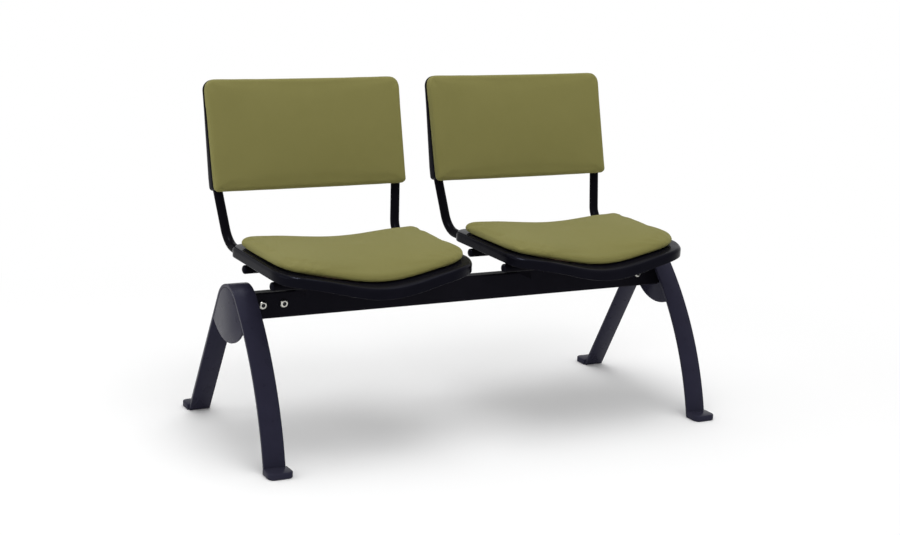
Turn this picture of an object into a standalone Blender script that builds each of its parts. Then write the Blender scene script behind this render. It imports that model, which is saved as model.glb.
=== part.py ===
"""Two-seat beam bench: upholstered seats and backrests on one steel beam between bent strip legs.

X runs along the beam, the sitters face -Y and Z rises from the floor, in metres. The bench stands
with the middle of its box on the origin. Every piece is one object, named as in a parts list.
"""

import math

import bmesh
import bpy
from mathutils import Matrix, Vector

# Gap left between pieces that touch on the real bench
GAP = 0.0003

# Beam: a rectangular tube, hung between the legs, with the seats on it at an even pitch
SEAT_PITCH = 0.575
BEAM_DEPTH = 0.030
BEAM_HEIGHT = 0.060
BEAM_BELOW_LEG = 0.022
BEAM_WALL = 0.0025
BEAM_CORNER = 0.004
BEAM_END_GAP = 0.007

# Legs: one flat strip each, bent into an inverted V, with a plate on the outer side
LEG_FROM_SEAT = 0.266
LEG_HEIGHT = 0.360
LEG_TOP_RADIUS = 0.064
FRONT_START = math.radians(45.0)
FRONT_BOW_RADIUS = 0.700
REAR_LEAN = math.radians(28.0)
STRIP_WIDTH = 0.050
STRIP_THICKNESS = 0.008
STRIP_LIFT = 0.001
PLATE_THICKNESS = 0.005
PLATE_RADIUS = 0.115
PLATE_DROP = 0.015

# Spigots: tubes from the leg plates into the ends of the beam, ending short of the clamp nuts
SPIGOT_CLEAR = 0.0052
SPIGOT_WALL = 0.004
SPIGOT_FIT = 0.0004

# Feet: blocks in front of and behind the strip ends
FOOT_WIDTH = 0.057
FOOT_LENGTH = 0.043
FOOT_HEIGHT = 0.014
FOOT_GRIP = 0.004
FOOT_CORNER = 0.014
FOOT_EDGE = 0.002

# Beam bolts: two button heads at each end of the beam's front face
BOLT_RADIUS = 0.005
BOLT_LENGTH = 0.016
BOLT_HEAD_RADIUS = 0.0095
BOLT_HEAD_HEIGHT = 0.0055
BOLT_SOCKET_RADIUS = 0.0050
BOLT_SOCKET_DEPTH = 0.0038
BOLT_FROM_LEG = 0.0525
BOLT_SPACING = 0.0505
BOLT_RISE = 0.003

# Seat frame: two side tubes lying on two cross tubes, bent up and outwards behind the seat
TUBE_RADIUS = 0.011
TUBE_WALL = 0.002
TUBE_BEND_RADIUS = 0.050
TUBE_BEND_BEHIND_PAN = 0.018
TUBE_SPLAY = math.radians(7.0)
RAIL_INSET = 0.0265
RAIL_ABOVE_BEAM = 0.063
CROSS_RADIUS = 0.010
CROSS_WALL = 0.002
REAR_CROSS_Y = 0.042
FRONT_CROSS_Y = -0.116
RAIL_OVERHANG = 0.014
PLUG_HEAD = 0.006
PLUG_STEM = 0.012

# Brackets: channels that stand on the beam and hold the cross tubes in round notches
BRACKET_X = 0.123
BRACKET_WIDTH = 0.028
BRACKET_WALL = 0.003
BRACKET_BASE = 0.004
BRACKET_BASE_REAR = 0.030
BRACKET_BASE_FRONT = 0.080
BRACKET_LIP = 0.007
BRACKET_NOSE = 0.016
BRACKET_ARM = 0.0135
CLAMP_RADIUS = 0.004
CLAMP_HEAD_RADIUS = 0.0075
CLAMP_HEAD_HEIGHT = 0.0048
CLAMP_NUT_RADIUS = 0.0075
CLAMP_NUT_HEIGHT = 0.0065
CLAMP_END = 0.002

# Seat pan: a saddle-shaped moulding with a bowed front, a rounded edge and a skirt; corners are (front, rear)
PAN_HALF_WIDTH = 0.240
PAN_FRONT = -0.215
PAN_REAR = 0.139
PAN_FRONT_RADIUS = 5.000
PAN_REAR_RADIUS = 6.000
PAN_CORNERS = (0.095, 0.042)
PAN_ABOVE_RAIL = 0.017
PAN_REAR_DIP = 0.010
PAN_FRONT_DIP = 0.038
PAN_DIP_SHARPNESS = 2.8
PAN_WATERFALL_START = -0.020
PAN_CORNER_FALL = 0.003
PAN_CORNER_FALL_START = -0.120
PAN_CORNER_FALL_RUN = 0.050
PAN_WALL = 0.0035
PAN_EDGE = 0.008
PAN_SKIRT = 0.023

# Seat pad: foam over a plywood board, set in from the pan's edge, with rounder corners than the pan
SEAT_PAD_INSET = 0.028
SEAT_PAD_SIDE_REACH = 0.0170
SEAT_PAD_CORNERS = (0.110, 0.056)
SEAT_PAD_TUCK = 0.006
SEAT_PAD_SIDE = 0.010
SEAT_PAD_ROUND = 0.014
SEAT_PAD_SHOULDER = 0.0225
SEAT_PAD_CROWN = 0.029
SEAT_BOARD_INSET = 0.040
SEAT_BOARD_THICKNESS = 0.006
SEAT_FIT = 0.0005

# Backrest: shell, board and pad, leaning back on the two uprights
BACK_SPREAD = 0.009
BACK_HEIGHT = 0.259
BACK_TAPER = 0.004
BACK_LEAN = math.radians(16.6)
BACK_RISE = 0.084
BACK_HOLLOW = 0.012
BACK_TOP_CORNER = 0.026
BACK_BOTTOM_CORNER = 0.009
BACK_PAD_THICKNESS = 0.020
BACK_PAD_EDGE = 0.008
BACK_PAD_CROWN = 0.003
BACK_PAD_TUCK = 0.002
BACK_BOARD_INSET = 0.014
BACK_BOARD_THICKNESS = 0.008
SHELL_LIFT = 0.005
SHELL_WALL = 0.0025
SHELL_BOTTOM_DEPTH = 0.0285
SHELL_TOP_DEPTH = 0.007
SHELL_EDGE = 0.008
UPRIGHT_GRIP = 0.036

# Back screws: from the shell through a boss into the board
SCREW_X = 0.150
SCREW_UP = 0.130
SCREW_RADIUS = 0.002
SCREW_HEAD_RADIUS = 0.0042
SCREW_HEAD_HEIGHT = 0.0028
SCREW_BITE = 0.005
BOSS_RADIUS = 0.008
BOSS_RECESS = 0.0035

# Steps of the round stretches
TUBE_SIDES_STEP = 4
BEND_STEPS = 8
TURN_STEPS = 12
BOW_STEPS = 9
TOP_STEPS = 12
SEAT_RING_SHARES = (0.35, 0.70, 1.0)
BACK_RING_SHARES = (0.40, 0.75, 1.0)
BACK_EDGE_SHARES = (0.0, 0.35, 0.70)

# A curve or turned piece drawn in its own XY plane, stood up so that X becomes Y and Y becomes Z
SIDE_ON = (math.pi / 2, 0.0, math.pi / 2)
# A turned piece whose axis points forward, backward or sideways
FORWARD = (math.pi / 2, 0.0, 0.0)
BACKWARD = (-math.pi / 2, 0.0, 0.0)

# Places and widths that follow from the sizes above
LEG_X = SEAT_PITCH / 2 + LEG_FROM_SEAT
PLATE_INSIDE = LEG_X + STRIP_WIDTH / 2 - PLATE_THICKNESS
BEAM_TOP = LEG_HEIGHT - BEAM_BELOW_LEG
BEAM_CENTRE = BEAM_TOP - BEAM_HEIGHT / 2
BEAM_HALF = PLATE_INSIDE - BEAM_END_GAP
SPIGOT_OUTER = PLATE_INSIDE - GAP
SPIGOT_INNER = SEAT_PITCH / 2 + BRACKET_X + CLAMP_NUT_RADIUS + SPIGOT_CLEAR
RAIL_X = PAN_HALF_WIDTH - RAIL_INSET
RAIL_HEIGHT = BEAM_TOP + RAIL_ABOVE_BEAM
TUBE_BEND_START = PAN_REAR + TUBE_BEND_BEHIND_PAN
PAN_SIDE_TOP = RAIL_HEIGHT + PAN_ABOVE_RAIL
BACK_WIDTH = 2 * (PAN_HALF_WIDTH + BACK_SPREAD)
CROSS_HEIGHT = RAIL_HEIGHT - TUBE_RADIUS - GAP - CROSS_RADIUS
CROSS_HALF = PAN_HALF_WIDTH - PLUG_HEAD


def clear_scene():
    for obj in list(bpy.data.objects):
        bpy.data.objects.remove(obj, do_unlink=True)


def new_collection(name):
    collection = bpy.data.collections.new(name)
    bpy.context.scene.collection.children.link(collection)
    return collection


clear_scene()
PARTS = new_collection("two_seat_beam_bench")
CUTTERS = new_collection("cutters")


def linear(red, green, blue):
    """A screen colour, 0 to 255, as the linear colour that a shader takes."""
    shares = [channel / 255 for channel in (red, green, blue)]
    return [s / 12.92 if s <= 0.04045 else ((s + 0.055) / 1.055) ** 2.4 for s in shares] + [1.0]


def material(name, colour, roughness, metallic):
    made = bpy.data.materials.new(name)
    made.use_nodes = True
    shader = made.node_tree.nodes["Principled BSDF"]
    shader.inputs["Base Color"].default_value = colour
    shader.inputs["Roughness"].default_value = roughness
    shader.inputs["Metallic"].default_value = metallic
    return made


PAINT = material("black_powder_coat", linear(38, 36, 44), 0.45, 0.0)
PLASTIC = material("black_moulded_plastic", linear(32, 31, 37), 0.50, 0.0)
FABRIC = material("olive_upholstery", linear(134, 132, 76), 0.85, 0.0)
ZINC = material("bright_zinc", linear(196, 196, 190), 0.30, 1.0)
PLYWOOD = material("plywood", linear(196, 164, 120), 0.70, 0.0)


def empty(name, location, rotation=(0.0, 0.0, 0.0), parent=None):
    obj = bpy.data.objects.new(name, None)
    obj.location = location
    obj.rotation_euler = rotation
    obj.parent = parent
    PARTS.objects.link(obj)
    return obj


def place(name, data, finish, parent, location=(0.0, 0.0, 0.0), rotation=(0.0, 0.0, 0.0)):
    """A piece of the bench, or a cutter where it has no finish."""
    obj = bpy.data.objects.new(name, data)
    obj.location = location
    obj.rotation_euler = rotation
    obj.parent = parent
    if finish is None:
        obj.hide_render = True
        obj.display_type = "WIRE"
        CUTTERS.objects.link(obj)
    else:
        data.materials.append(finish)
        PARTS.objects.link(obj)
    return obj


def mesh_from(bm, name):
    bmesh.ops.recalc_face_normals(bm, faces=bm.faces)
    mesh = bpy.data.meshes.new(name)
    bm.to_mesh(mesh)
    bm.free()
    return mesh


def smooth(mesh, angle=40.0):
    mesh.shade_smooth()
    mesh.set_sharp_from_angle(angle=math.radians(angle))
    return mesh


def box(name, size, finish, parent, location):
    bm = bmesh.new()
    bmesh.ops.create_cube(bm, size=1.0, matrix=Matrix.Diagonal((*size, 1.0)))
    return place(name, mesh_from(bm, name), finish, parent, location)


def rods(name, radius, length, centres, finish, parent, rotation=(0.0, 0.0, 0.0), sides=16):
    """Straight round bars along their own Z, all in one mesh; rotation turns each about its centre."""
    bm = bmesh.new()
    turn = Matrix.Identity(4)
    for axis, angle in zip("XYZ", rotation):
        turn = Matrix.Rotation(angle, 4, axis) @ turn
    for centre in centres:
        bmesh.ops.create_cone(
            bm, cap_ends=True, segments=sides, radius1=radius, radius2=radius, depth=length,
            matrix=Matrix.Translation(centre) @ turn,
        )
    return place(name, smooth(mesh_from(bm, name)), finish, parent)


def turned(name, profile, finish, parent, location, rotation=(0.0, 0.0, 0.0), steps=TURN_STEPS):
    """A turned piece: profile runs down the outer side, as (radius, height) from top to bottom."""
    bm = bmesh.new()
    points = [bm.verts.new((radius, 0.0, height)) for radius, height in profile]
    for first, second in zip(points, points[1:]):
        bm.edges.new((first, second))
    mesh = bpy.data.meshes.new(name)
    bm.to_mesh(mesh)
    bm.free()
    obj = place(name, mesh, finish, parent, location, rotation)
    screw = obj.modifiers.new("turn", "SCREW")
    screw.steps = steps
    screw.render_steps = steps
    screw.use_merge_vertices = True
    screw.merge_threshold = 0.00001
    return obj


def curve_data(name, points, closed):
    curve = bpy.data.curves.new(name, "CURVE")
    spline = curve.splines.new("POLY")
    spline.points.add(len(points) - 1)
    for target, point in zip(spline.points, points):
        target.co = (*point, 1.0) if len(point) == 3 else (*point, 0.0, 1.0)
    spline.use_cyclic_u = closed
    return curve


def as_mesh(obj):
    """The curve object made a mesh object of the same name and place, with its caps welded."""
    graph = bpy.context.evaluated_depsgraph_get()
    mesh = bpy.data.meshes.new_from_object(obj.evaluated_get(graph))
    bm = bmesh.new()
    bm.from_mesh(mesh)
    bmesh.ops.remove_doubles(bm, verts=bm.verts, dist=0.00001)
    bmesh.ops.recalc_face_normals(bm, faces=bm.faces)
    bm.to_mesh(mesh)
    bm.free()
    name, parent, finish = obj.name, obj.parent, None
    if mesh.materials:
        finish = mesh.materials[0]
        mesh.materials.clear()
    location, rotation = tuple(obj.location), tuple(obj.rotation_euler)
    bpy.data.objects.remove(obj, do_unlink=True)
    return place(name, mesh, finish, parent, location, rotation)


def flat(name, outline, thickness, finish, parent, location, rotation):
    """A closed outline in its own XY plane, given its thickness on both sides of that plane."""
    curve = curve_data(name, outline, True)
    curve.dimensions = "2D"
    curve.fill_mode = "BOTH"
    curve.extrude = thickness / 2
    obj = place(name, curve, finish, parent, location, rotation)
    bpy.context.view_layer.update()
    return as_mesh(obj)


def pipe(name, path, radius, wall, finish, parent):
    """A tube along the path, open at both ends."""
    curve = curve_data(name, path, False)
    curve.dimensions = "3D"
    curve.bevel_depth = radius
    curve.bevel_resolution = TUBE_SIDES_STEP
    obj = place(name, curve, finish, parent)
    shell = obj.modifiers.new("wall", "SOLIDIFY")
    shell.thickness = wall
    shell.offset = -1.0
    return obj


def bar_along(name, path, radius, parent):
    """A solid bar along the path, for cutting the room that a tube needs."""
    curve = curve_data(name, path, False)
    curve.dimensions = "3D"
    curve.bevel_depth = radius
    curve.bevel_resolution = TUBE_SIDES_STEP
    curve.use_fill_caps = True
    obj = place(name, curve, None, parent)
    bpy.context.view_layer.update()
    return as_mesh(obj)


def boolean(piece, other, operation):
    modifier = piece.modifiers.new(operation.lower(), "BOOLEAN")
    modifier.operation = operation
    modifier.solver = "EXACT"
    modifier.object = other


def rounded(piece, width, segments=2, angle=50.0):
    bevel = piece.modifiers.new("round", "BEVEL")
    bevel.width = width
    bevel.segments = segments
    bevel.limit_method = "ANGLE"
    bevel.angle_limit = math.radians(angle)


def arc(centre, radius, start, end, steps):
    """Points on an arc, both ends included."""
    turns = [start + (end - start) * step / steps for step in range(steps + 1)]
    return [(centre[0] + radius * math.cos(t), centre[1] + radius * math.sin(t)) for t in turns]


def loft(name, rings, finish, parent, first=None, last=None, across=2):
    """Rings of equal count joined by triangles; first and last are points that close the ends.

    Each four-cornered field is split along the diagonal that lies further along the axis across,
    so that two lofts over the same plan stay parallel."""
    bm = bmesh.new()
    rows = [[bm.verts.new(point) for point in ring] for ring in rings]
    count = len(rows[0])
    for lower, upper in zip(rows, rows[1:]):
        for k in range(count):
            a, b = lower[k], lower[(k + 1) % count]
            d, c = upper[k], upper[(k + 1) % count]
            if a.co[across] + c.co[across] >= b.co[across] + d.co[across]:
                bm.faces.new((a, b, c))
                bm.faces.new((a, c, d))
            else:
                bm.faces.new((a, b, d))
                bm.faces.new((b, c, d))
    for row, point in ((rows[0], first), (rows[-1], last)):
        if point is None:
            continue
        tip = bm.verts.new(point)
        for k in range(count):
            bm.faces.new((row[k], row[(k + 1) % count], tip))
    mesh = mesh_from(bm, name)
    return place(name, smooth(mesh), finish, parent)


def thicken(piece, thickness, offset):
    shell = piece.modifiers.new("wall", "SOLIDIFY")
    shell.thickness = thickness
    shell.offset = offset
    shell.use_even_offset = True


def at_level(first, second, level):
    """The point at this height on the line through two (y, z) points."""
    share = (level - first[1]) / (second[1] - first[1])
    return first[0] + (second[0] - first[0]) * share, level


def leg_face(inset, lift):
    """The side view of the strip's face that lies inset inside its outer face, as (y, z) points.

    It runs from the front foot up the bow, over the tight top and straight down to the rear foot."""
    top_z = LEG_HEIGHT - LEG_TOP_RADIUS
    reach = FRONT_BOW_RADIUS - LEG_TOP_RADIUS
    bow = (reach * math.cos(FRONT_START), top_z - reach * math.sin(FRONT_START))
    foot = math.asin(-bow[1] / FRONT_BOW_RADIUS)
    points = arc(bow, FRONT_BOW_RADIUS - inset, math.pi - foot, math.pi - FRONT_START, BOW_STEPS)
    points[0] = at_level(points[0], points[1], lift)
    points += arc((0.0, top_z), LEG_TOP_RADIUS - inset, math.pi - FRONT_START, REAR_LEAN, TOP_STEPS)[1:]
    y, z = points[-1]
    return points + [(y + (z - lift) * math.tan(REAR_LEAN), lift)]


def strip_outline(slack, lift):
    """The bent strip's side view, grown by slack on both faces."""
    return leg_face(-slack, lift) + leg_face(STRIP_THICKNESS + slack, lift)[::-1]


def foot_outline():
    """Plan of a foot block, from its grip on the strip at y = 0 to its rounded toe."""
    half = FOOT_WIDTH / 2
    inner = half - FOOT_CORNER
    toe = FOOT_LENGTH - FOOT_CORNER
    points = [(-half, 0.0), (half, 0.0)]
    points += arc((inner, toe), FOOT_CORNER, 0.0, math.pi / 2, 4)
    points += arc((-inner, toe), FOOT_CORNER, math.pi / 2, math.pi, 4)
    return points


def button_head(radius, height, shank, length):
    """Profile of a round-headed bolt, its head standing on height 0."""
    head = [(0.0, height), (radius * 0.55, height), (radius * 0.85, height * 0.80), (radius, height * 0.35)]
    return head + [(radius, 0.0), (shank, 0.0), (shank, -length), (0.0, -length)]


def make_leg(side, name, bench):
    """One strip, its plate and its spigot; side is -1 on the left and 1 on the right."""
    x = side * LEG_X
    strip = flat(f"{name}_leg_strip", strip_outline(0.0, STRIP_LIFT), STRIP_WIDTH, PAINT, bench,
                 (x, 0.0, 0.0), SIDE_ON)
    rounded(strip, 0.001, 1)
    plate_middle = (side * (PLATE_INSIDE + PLATE_THICKNESS / 2), 0.0, LEG_HEIGHT - PLATE_DROP)
    plate = rods(f"{name}_leg_plate", PLATE_RADIUS, PLATE_THICKNESS, [plate_middle], PAINT, bench,
                 (0.0, math.pi / 2, 0.0), 56)
    inside = flat(f"{name}_leg_inside", leg_face(STRIP_THICKNESS + GAP, STRIP_LIFT), STRIP_WIDTH * 2, None,
                  bench, (x, 0.0, 0.0), SIDE_ON)
    boolean(plate, inside, "INTERSECT")
    fit = BEAM_WALL + SPIGOT_FIT
    depth = BEAM_DEPTH - 2 * fit
    height = BEAM_HEIGHT - 2 * fit
    length = SPIGOT_OUTER - SPIGOT_INNER
    middle = (side * (SPIGOT_OUTER + SPIGOT_INNER) / 2, 0.0, BEAM_CENTRE)
    spigot = box(f"{name}_beam_spigot", (length, depth, height), PAINT, bench, middle)
    bore = (length * 2, depth - 2 * SPIGOT_WALL, height - 2 * SPIGOT_WALL)
    boolean(spigot, box(f"{name}_spigot_bore", bore, None, bench, middle), "DIFFERENCE")
    return spigot


def make_feet(side, name, bench):
    """The two foot blocks of one leg, notched where they hold the strip."""
    x = side * LEG_X
    notch = flat(f"{name}_strip_room", strip_outline(GAP, -FOOT_HEIGHT), STRIP_WIDTH + 2 * GAP, None, bench,
                 (x, 0.0, 0.0), SIDE_ON)
    floor_face = leg_face(0.0, 0.0)
    ends = (("front", floor_face[0][0] + FOOT_GRIP, math.pi), ("rear", floor_face[-1][0] - FOOT_GRIP, 0.0))
    for place_name, y, turn in ends:
        foot = flat(f"{name}_{place_name}_foot", foot_outline(), FOOT_HEIGHT, PLASTIC, bench,
                    (x, y, FOOT_HEIGHT / 2), (0.0, 0.0, turn))
        rounded(foot, FOOT_EDGE, 2)
        boolean(foot, notch, "DIFFERENCE")


def make_beam(bench, clamps):
    """The beam with its bore and its bolt holes; clamps are the x places of the bracket bolts."""
    middle = (0.0, 0.0, BEAM_CENTRE)
    length = 2 * BEAM_HALF
    beam = box("beam", (length, BEAM_DEPTH, BEAM_HEIGHT), PAINT, bench, middle)
    edges = beam.modifiers.new("round", "BEVEL")
    edges.width = BEAM_CORNER
    edges.segments = 3
    edges.limit_method = "WEIGHT"
    weights = beam.data.attributes.new("bevel_weight_edge", "FLOAT", "EDGE")
    for edge in beam.data.edges:
        first, second = (beam.data.vertices[v].co for v in edge.vertices)
        weights.data[edge.index].value = float(abs(first.x - second.x) > BEAM_DEPTH)
    bore = (2 * length, BEAM_DEPTH - 2 * BEAM_WALL, BEAM_HEIGHT - 2 * BEAM_WALL)
    boolean(beam, box("beam_bore", bore, None, bench, middle), "DIFFERENCE")
    holes = [(x, 0.0, BEAM_TOP) for x in clamps]
    clamp_room = rods("clamp_holes", CLAMP_RADIUS + GAP, BEAM_HEIGHT / 2, holes, None, bench, sides=12)
    boolean(beam, clamp_room, "DIFFERENCE")
    return beam


def make_beam_bolts(bench, beam, spigots):
    """Two bolts at each end, through the beam's front wall into the spigot."""
    front = -BEAM_DEPTH / 2 - GAP
    z = BEAM_CENTRE + BOLT_RISE
    for side, name in ((-1, "left"), (1, "right")):
        room = []
        for place_name, step in (("outer", 0), ("inner", 1)):
            x = side * (LEG_X - BOLT_FROM_LEG - step * BOLT_SPACING)
            profile = button_head(BOLT_HEAD_RADIUS, BOLT_HEAD_HEIGHT, BOLT_RADIUS, BOLT_LENGTH)
            bolt = turned(f"{name}_{place_name}_beam_bolt", profile, ZINC, bench, (x, front, z), FORWARD, 16)
            socket_y = front - BOLT_HEAD_HEIGHT
            socket = rods(f"{name}_{place_name}_socket", BOLT_SOCKET_RADIUS, 2 * BOLT_SOCKET_DEPTH,
                          [(x, socket_y, z)], None, bench, FORWARD, 6)
            boolean(bolt, socket, "DIFFERENCE")
            room.append((x, front, z))
        cutter = rods(f"{name}_bolt_room", BOLT_RADIUS + GAP, 2 * (BOLT_LENGTH + GAP), room, None, bench,
                      FORWARD)
        boolean(beam, cutter, "DIFFERENCE")
        boolean(spigots[side], cutter, "DIFFERENCE")


def splayed(side, y, height):
    """A point of a side tube: its bend lies in a plane that leans outwards about the rail."""
    x = side * (RAIL_X + height * math.sin(TUBE_SPLAY))
    return x, y, RAIL_HEIGHT + height * math.cos(TUBE_SPLAY)


def upright_point(side, distance):
    """A point on the upright's centre line, at this distance above the bend."""
    turn = math.pi / 2 - BACK_LEAN
    y = TUBE_BEND_START + TUBE_BEND_RADIUS * math.sin(turn)
    height = TUBE_BEND_RADIUS * (1 - math.cos(turn))
    return splayed(side, y + distance * math.sin(BACK_LEAN), height + distance * math.cos(BACK_LEAN))


def side_tube_path(side):
    """Rail under the seat's side, bend behind it and upright into the backrest."""
    points = [splayed(side, FRONT_CROSS_Y - RAIL_OVERHANG, 0.0)]
    bend = arc((TUBE_BEND_START, TUBE_BEND_RADIUS), TUBE_BEND_RADIUS, -math.pi / 2, -BACK_LEAN, BEND_STEPS)
    points += [splayed(side, y, height) for y, height in bend]
    return points + [upright_point(side, BACK_RISE + UPRIGHT_GRIP)]


def make_seat_frame(name, seat):
    """Side tubes, cross tubes and plugs of one seat; returns the room that the side tubes need."""
    rooms = []
    for side, side_name in ((-1, "left"), (1, "right")):
        path = side_tube_path(side)
        pipe(f"{name}_seat_{side_name}_side_tube", path, TUBE_RADIUS, TUBE_WALL, PAINT, seat)
        rooms.append(bar_along(f"{name}_{side_name}_tube_room", path, TUBE_RADIUS + GAP, seat))
    stem = CROSS_RADIUS - CROSS_WALL - GAP
    plug = [(0.0, PLUG_HEAD), (CROSS_RADIUS * 0.6, PLUG_HEAD * 0.85), (CROSS_RADIUS * 0.92, PLUG_HEAD * 0.5)]
    plug += [(CROSS_RADIUS, GAP), (stem, GAP), (stem, -PLUG_STEM), (0.0, -PLUG_STEM)]
    for place_name, y in (("rear", REAR_CROSS_Y), ("front", FRONT_CROSS_Y)):
        ends = [(-CROSS_HALF, y, CROSS_HEIGHT), (CROSS_HALF, y, CROSS_HEIGHT)]
        pipe(f"{name}_seat_{place_name}_cross_tube", ends, CROSS_RADIUS, CROSS_WALL, PAINT, seat)
        for end, side, side_name in zip(ends, (-1, 1), ("left", "right")):
            turned(f"{name}_seat_{place_name}_{side_name}_plug", plug, PLASTIC, seat, end,
                   (0.0, side * math.pi / 2, 0.0))
    return rooms


def bracket_outline():
    """Side view of a bracket, as (y, z): a base on the beam and two round notches for the cross tubes."""
    base = BEAM_TOP + GAP
    notch = CROSS_RADIUS + GAP
    rear = REAR_CROSS_Y + notch + BRACKET_LIP
    front = FRONT_CROSS_Y - notch - BRACKET_LIP
    points = [(-BRACKET_BASE_FRONT, base), (BRACKET_BASE_REAR, base), (rear, CROSS_HEIGHT - BRACKET_NOSE)]
    points.append((rear, CROSS_HEIGHT))
    points += arc((REAR_CROSS_Y, CROSS_HEIGHT), notch, 0.0, -math.pi, 8)
    points += arc((FRONT_CROSS_Y, CROSS_HEIGHT), notch, 0.0, -math.pi, 8)
    under = CROSS_HEIGHT - BRACKET_ARM
    return points + [(front, CROSS_HEIGHT), (front, under), (-BRACKET_BASE_FRONT, under)]


def make_brackets(name, seat):
    """Two channels per seat, closed in front, each bolted to the beam by a nut under its upper wall."""
    base_top = BEAM_TOP + GAP + BRACKET_BASE
    channel_height = CROSS_HEIGHT - BEAM_TOP
    channel_y = BRACKET_WALL - BRACKET_BASE_FRONT + 0.5
    wall_under = BEAM_TOP - BEAM_WALL
    for side, side_name in ((-1, "left"), (1, "right")):
        x = side * BRACKET_X
        bracket = flat(f"{name}_seat_{side_name}_bracket", bracket_outline(), BRACKET_WIDTH, PAINT, seat,
                       (x, 0.0, 0.0), SIDE_ON)
        channel = box(f"{name}_{side_name}_channel", (BRACKET_WIDTH - 2 * BRACKET_WALL, 1.0, channel_height),
                      None, seat, (x, channel_y, base_top + channel_height / 2))
        boolean(bracket, channel, "DIFFERENCE")
        hole = rods(f"{name}_{side_name}_clamp_hole", CLAMP_RADIUS + GAP, BEAM_HEIGHT, [(x, 0.0, BEAM_TOP)],
                    None, seat, sides=12)
        boolean(bracket, hole, "DIFFERENCE")
        head = base_top + GAP
        length = head - wall_under + GAP + CLAMP_NUT_HEIGHT + CLAMP_END
        profile = button_head(CLAMP_HEAD_RADIUS, CLAMP_HEAD_HEIGHT, CLAMP_RADIUS, length)
        turned(f"{name}_seat_{side_name}_clamp_bolt", profile, ZINC, seat, (x, 0.0, head))
        nut_z = wall_under - GAP - CLAMP_NUT_HEIGHT / 2
        nut = rods(f"{name}_seat_{side_name}_clamp_nut", CLAMP_NUT_RADIUS, CLAMP_NUT_HEIGHT,
                   [(x, 0.0, nut_z)], ZINC, seat, sides=6)
        thread = rods(f"{name}_{side_name}_nut_hole", CLAMP_RADIUS + GAP, 2 * CLAMP_NUT_HEIGHT,
                      [(x, 0.0, nut_z)], None, seat, sides=12)
        boolean(nut, thread, "DIFFERENCE")


def pan_top(x, y):
    """Height of the pan's upper face: level sides, a dip in the middle, a falling front and front corners."""
    outward = (x / PAN_HALF_WIDTH) ** 2
    share = max(0.0, PAN_WATERFALL_START - y) / (PAN_WATERFALL_START - PAN_FRONT)
    dip = PAN_REAR_DIP + (PAN_FRONT_DIP - PAN_REAR_DIP) * share ** 1.5
    turn = min(max((PAN_CORNER_FALL_START - y) / PAN_CORNER_FALL_RUN, 0.0), 1.0)
    fall = PAN_CORNER_FALL * turn * turn * (3 - 2 * turn)
    return PAN_SIDE_TOP - dip * max(0.0, 1 - outward) ** PAN_DIP_SHARPNESS - fall * outward


def seat_plan(inset, corners):
    """The pan's plan outline, set in, as (x, y) points from the front middle round to the right."""
    half = PAN_HALF_WIDTH
    front_round, rear_round = corners
    front_y = PAN_FRONT + PAN_FRONT_RADIUS
    front_gap = PAN_FRONT_RADIUS - front_round
    spread = math.asin((half - front_round) / front_gap)
    front_corner = (half - front_round, front_y - front_gap * math.cos(spread))
    rear_y = PAN_REAR - PAN_REAR_RADIUS
    rear_gap = PAN_REAR_RADIUS - rear_round
    fan = math.asin((half - rear_round) / rear_gap)
    rear_corner = (half - rear_round, rear_y + rear_gap * math.cos(fan))
    quarter = math.pi / 2
    right = arc((0.0, front_y), PAN_FRONT_RADIUS - inset, -quarter, spread - quarter, 4)
    right += arc(front_corner, front_round - inset, spread - quarter, 0.0, 3)[1:]
    side_start, side_end = front_corner[1], rear_corner[1]
    right += [(half - inset, side_start + (side_end - side_start) * k / 3) for k in (1, 2)]
    right += arc(rear_corner, rear_round - inset, 0.0, quarter - fan, 3)
    right += arc((0.0, rear_y), PAN_REAR_RADIUS - inset, quarter - fan, quarter, 2)[1:]
    return right + [(-x, y) for x, y in right[-2:0:-1]]


def seat_centre():
    return 0.0, (PAN_FRONT + PAN_REAR) / 2


def seat_ring(inset, rise, share=1.0, reach=0.0, corners=SEAT_PAD_CORNERS):
    """A ring over the pan: the outline set in, drawn towards the middle, raised above the pan's face.

    With a reach it is wider by that much at each side."""
    cx, cy = seat_centre()
    wide = share * (1 + reach / PAN_HALF_WIDTH)
    plan = [(cx + (x - cx) * wide, cy + (y - cy) * share) for x, y in seat_plan(inset, corners)]
    return [(x, y, pan_top(x, y) + rise) for x, y in plan]


def seat_tip(rise):
    x, y = seat_centre()
    return x, y, pan_top(x, y) + rise


def make_seat_pan(name, seat, rooms):
    """The moulded pan: a thin shell from its middle over the rounded edge and down the skirt."""
    rings = [seat_ring(SEAT_BOARD_INSET, 0.0, share) for share in SEAT_RING_SHARES]
    rings.append(seat_ring(SEAT_PAD_INSET + SEAT_PAD_TUCK, 0.0))
    for turn in (0.0, math.pi / 4, math.pi / 2):
        inset = PAN_EDGE * (1 - math.sin(turn))
        rings.append(seat_ring(inset, -PAN_EDGE * (1 - math.cos(turn)), corners=PAN_CORNERS))
    rings.append(seat_ring(0.0, -PAN_SKIRT, corners=PAN_CORNERS))
    pan = loft(f"{name}_seat_pan", rings, PLASTIC, seat, first=seat_tip(0.0))
    thicken(pan, PAN_WALL, -1.0)
    for room in rooms:
        boolean(pan, room, "DIFFERENCE")


def make_seat_board(name, seat):
    """The plywood board under the foam, following the pan."""
    top = SEAT_FIT + SEAT_BOARD_THICKNESS
    rings = [seat_ring(SEAT_BOARD_INSET, SEAT_FIT, share) for share in SEAT_RING_SHARES]
    rings += [seat_ring(SEAT_BOARD_INSET, top, share) for share in SEAT_RING_SHARES[::-1]]
    loft(f"{name}_seat_board", rings, PLYWOOD, seat, first=seat_tip(SEAT_FIT), last=seat_tip(top))


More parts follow.
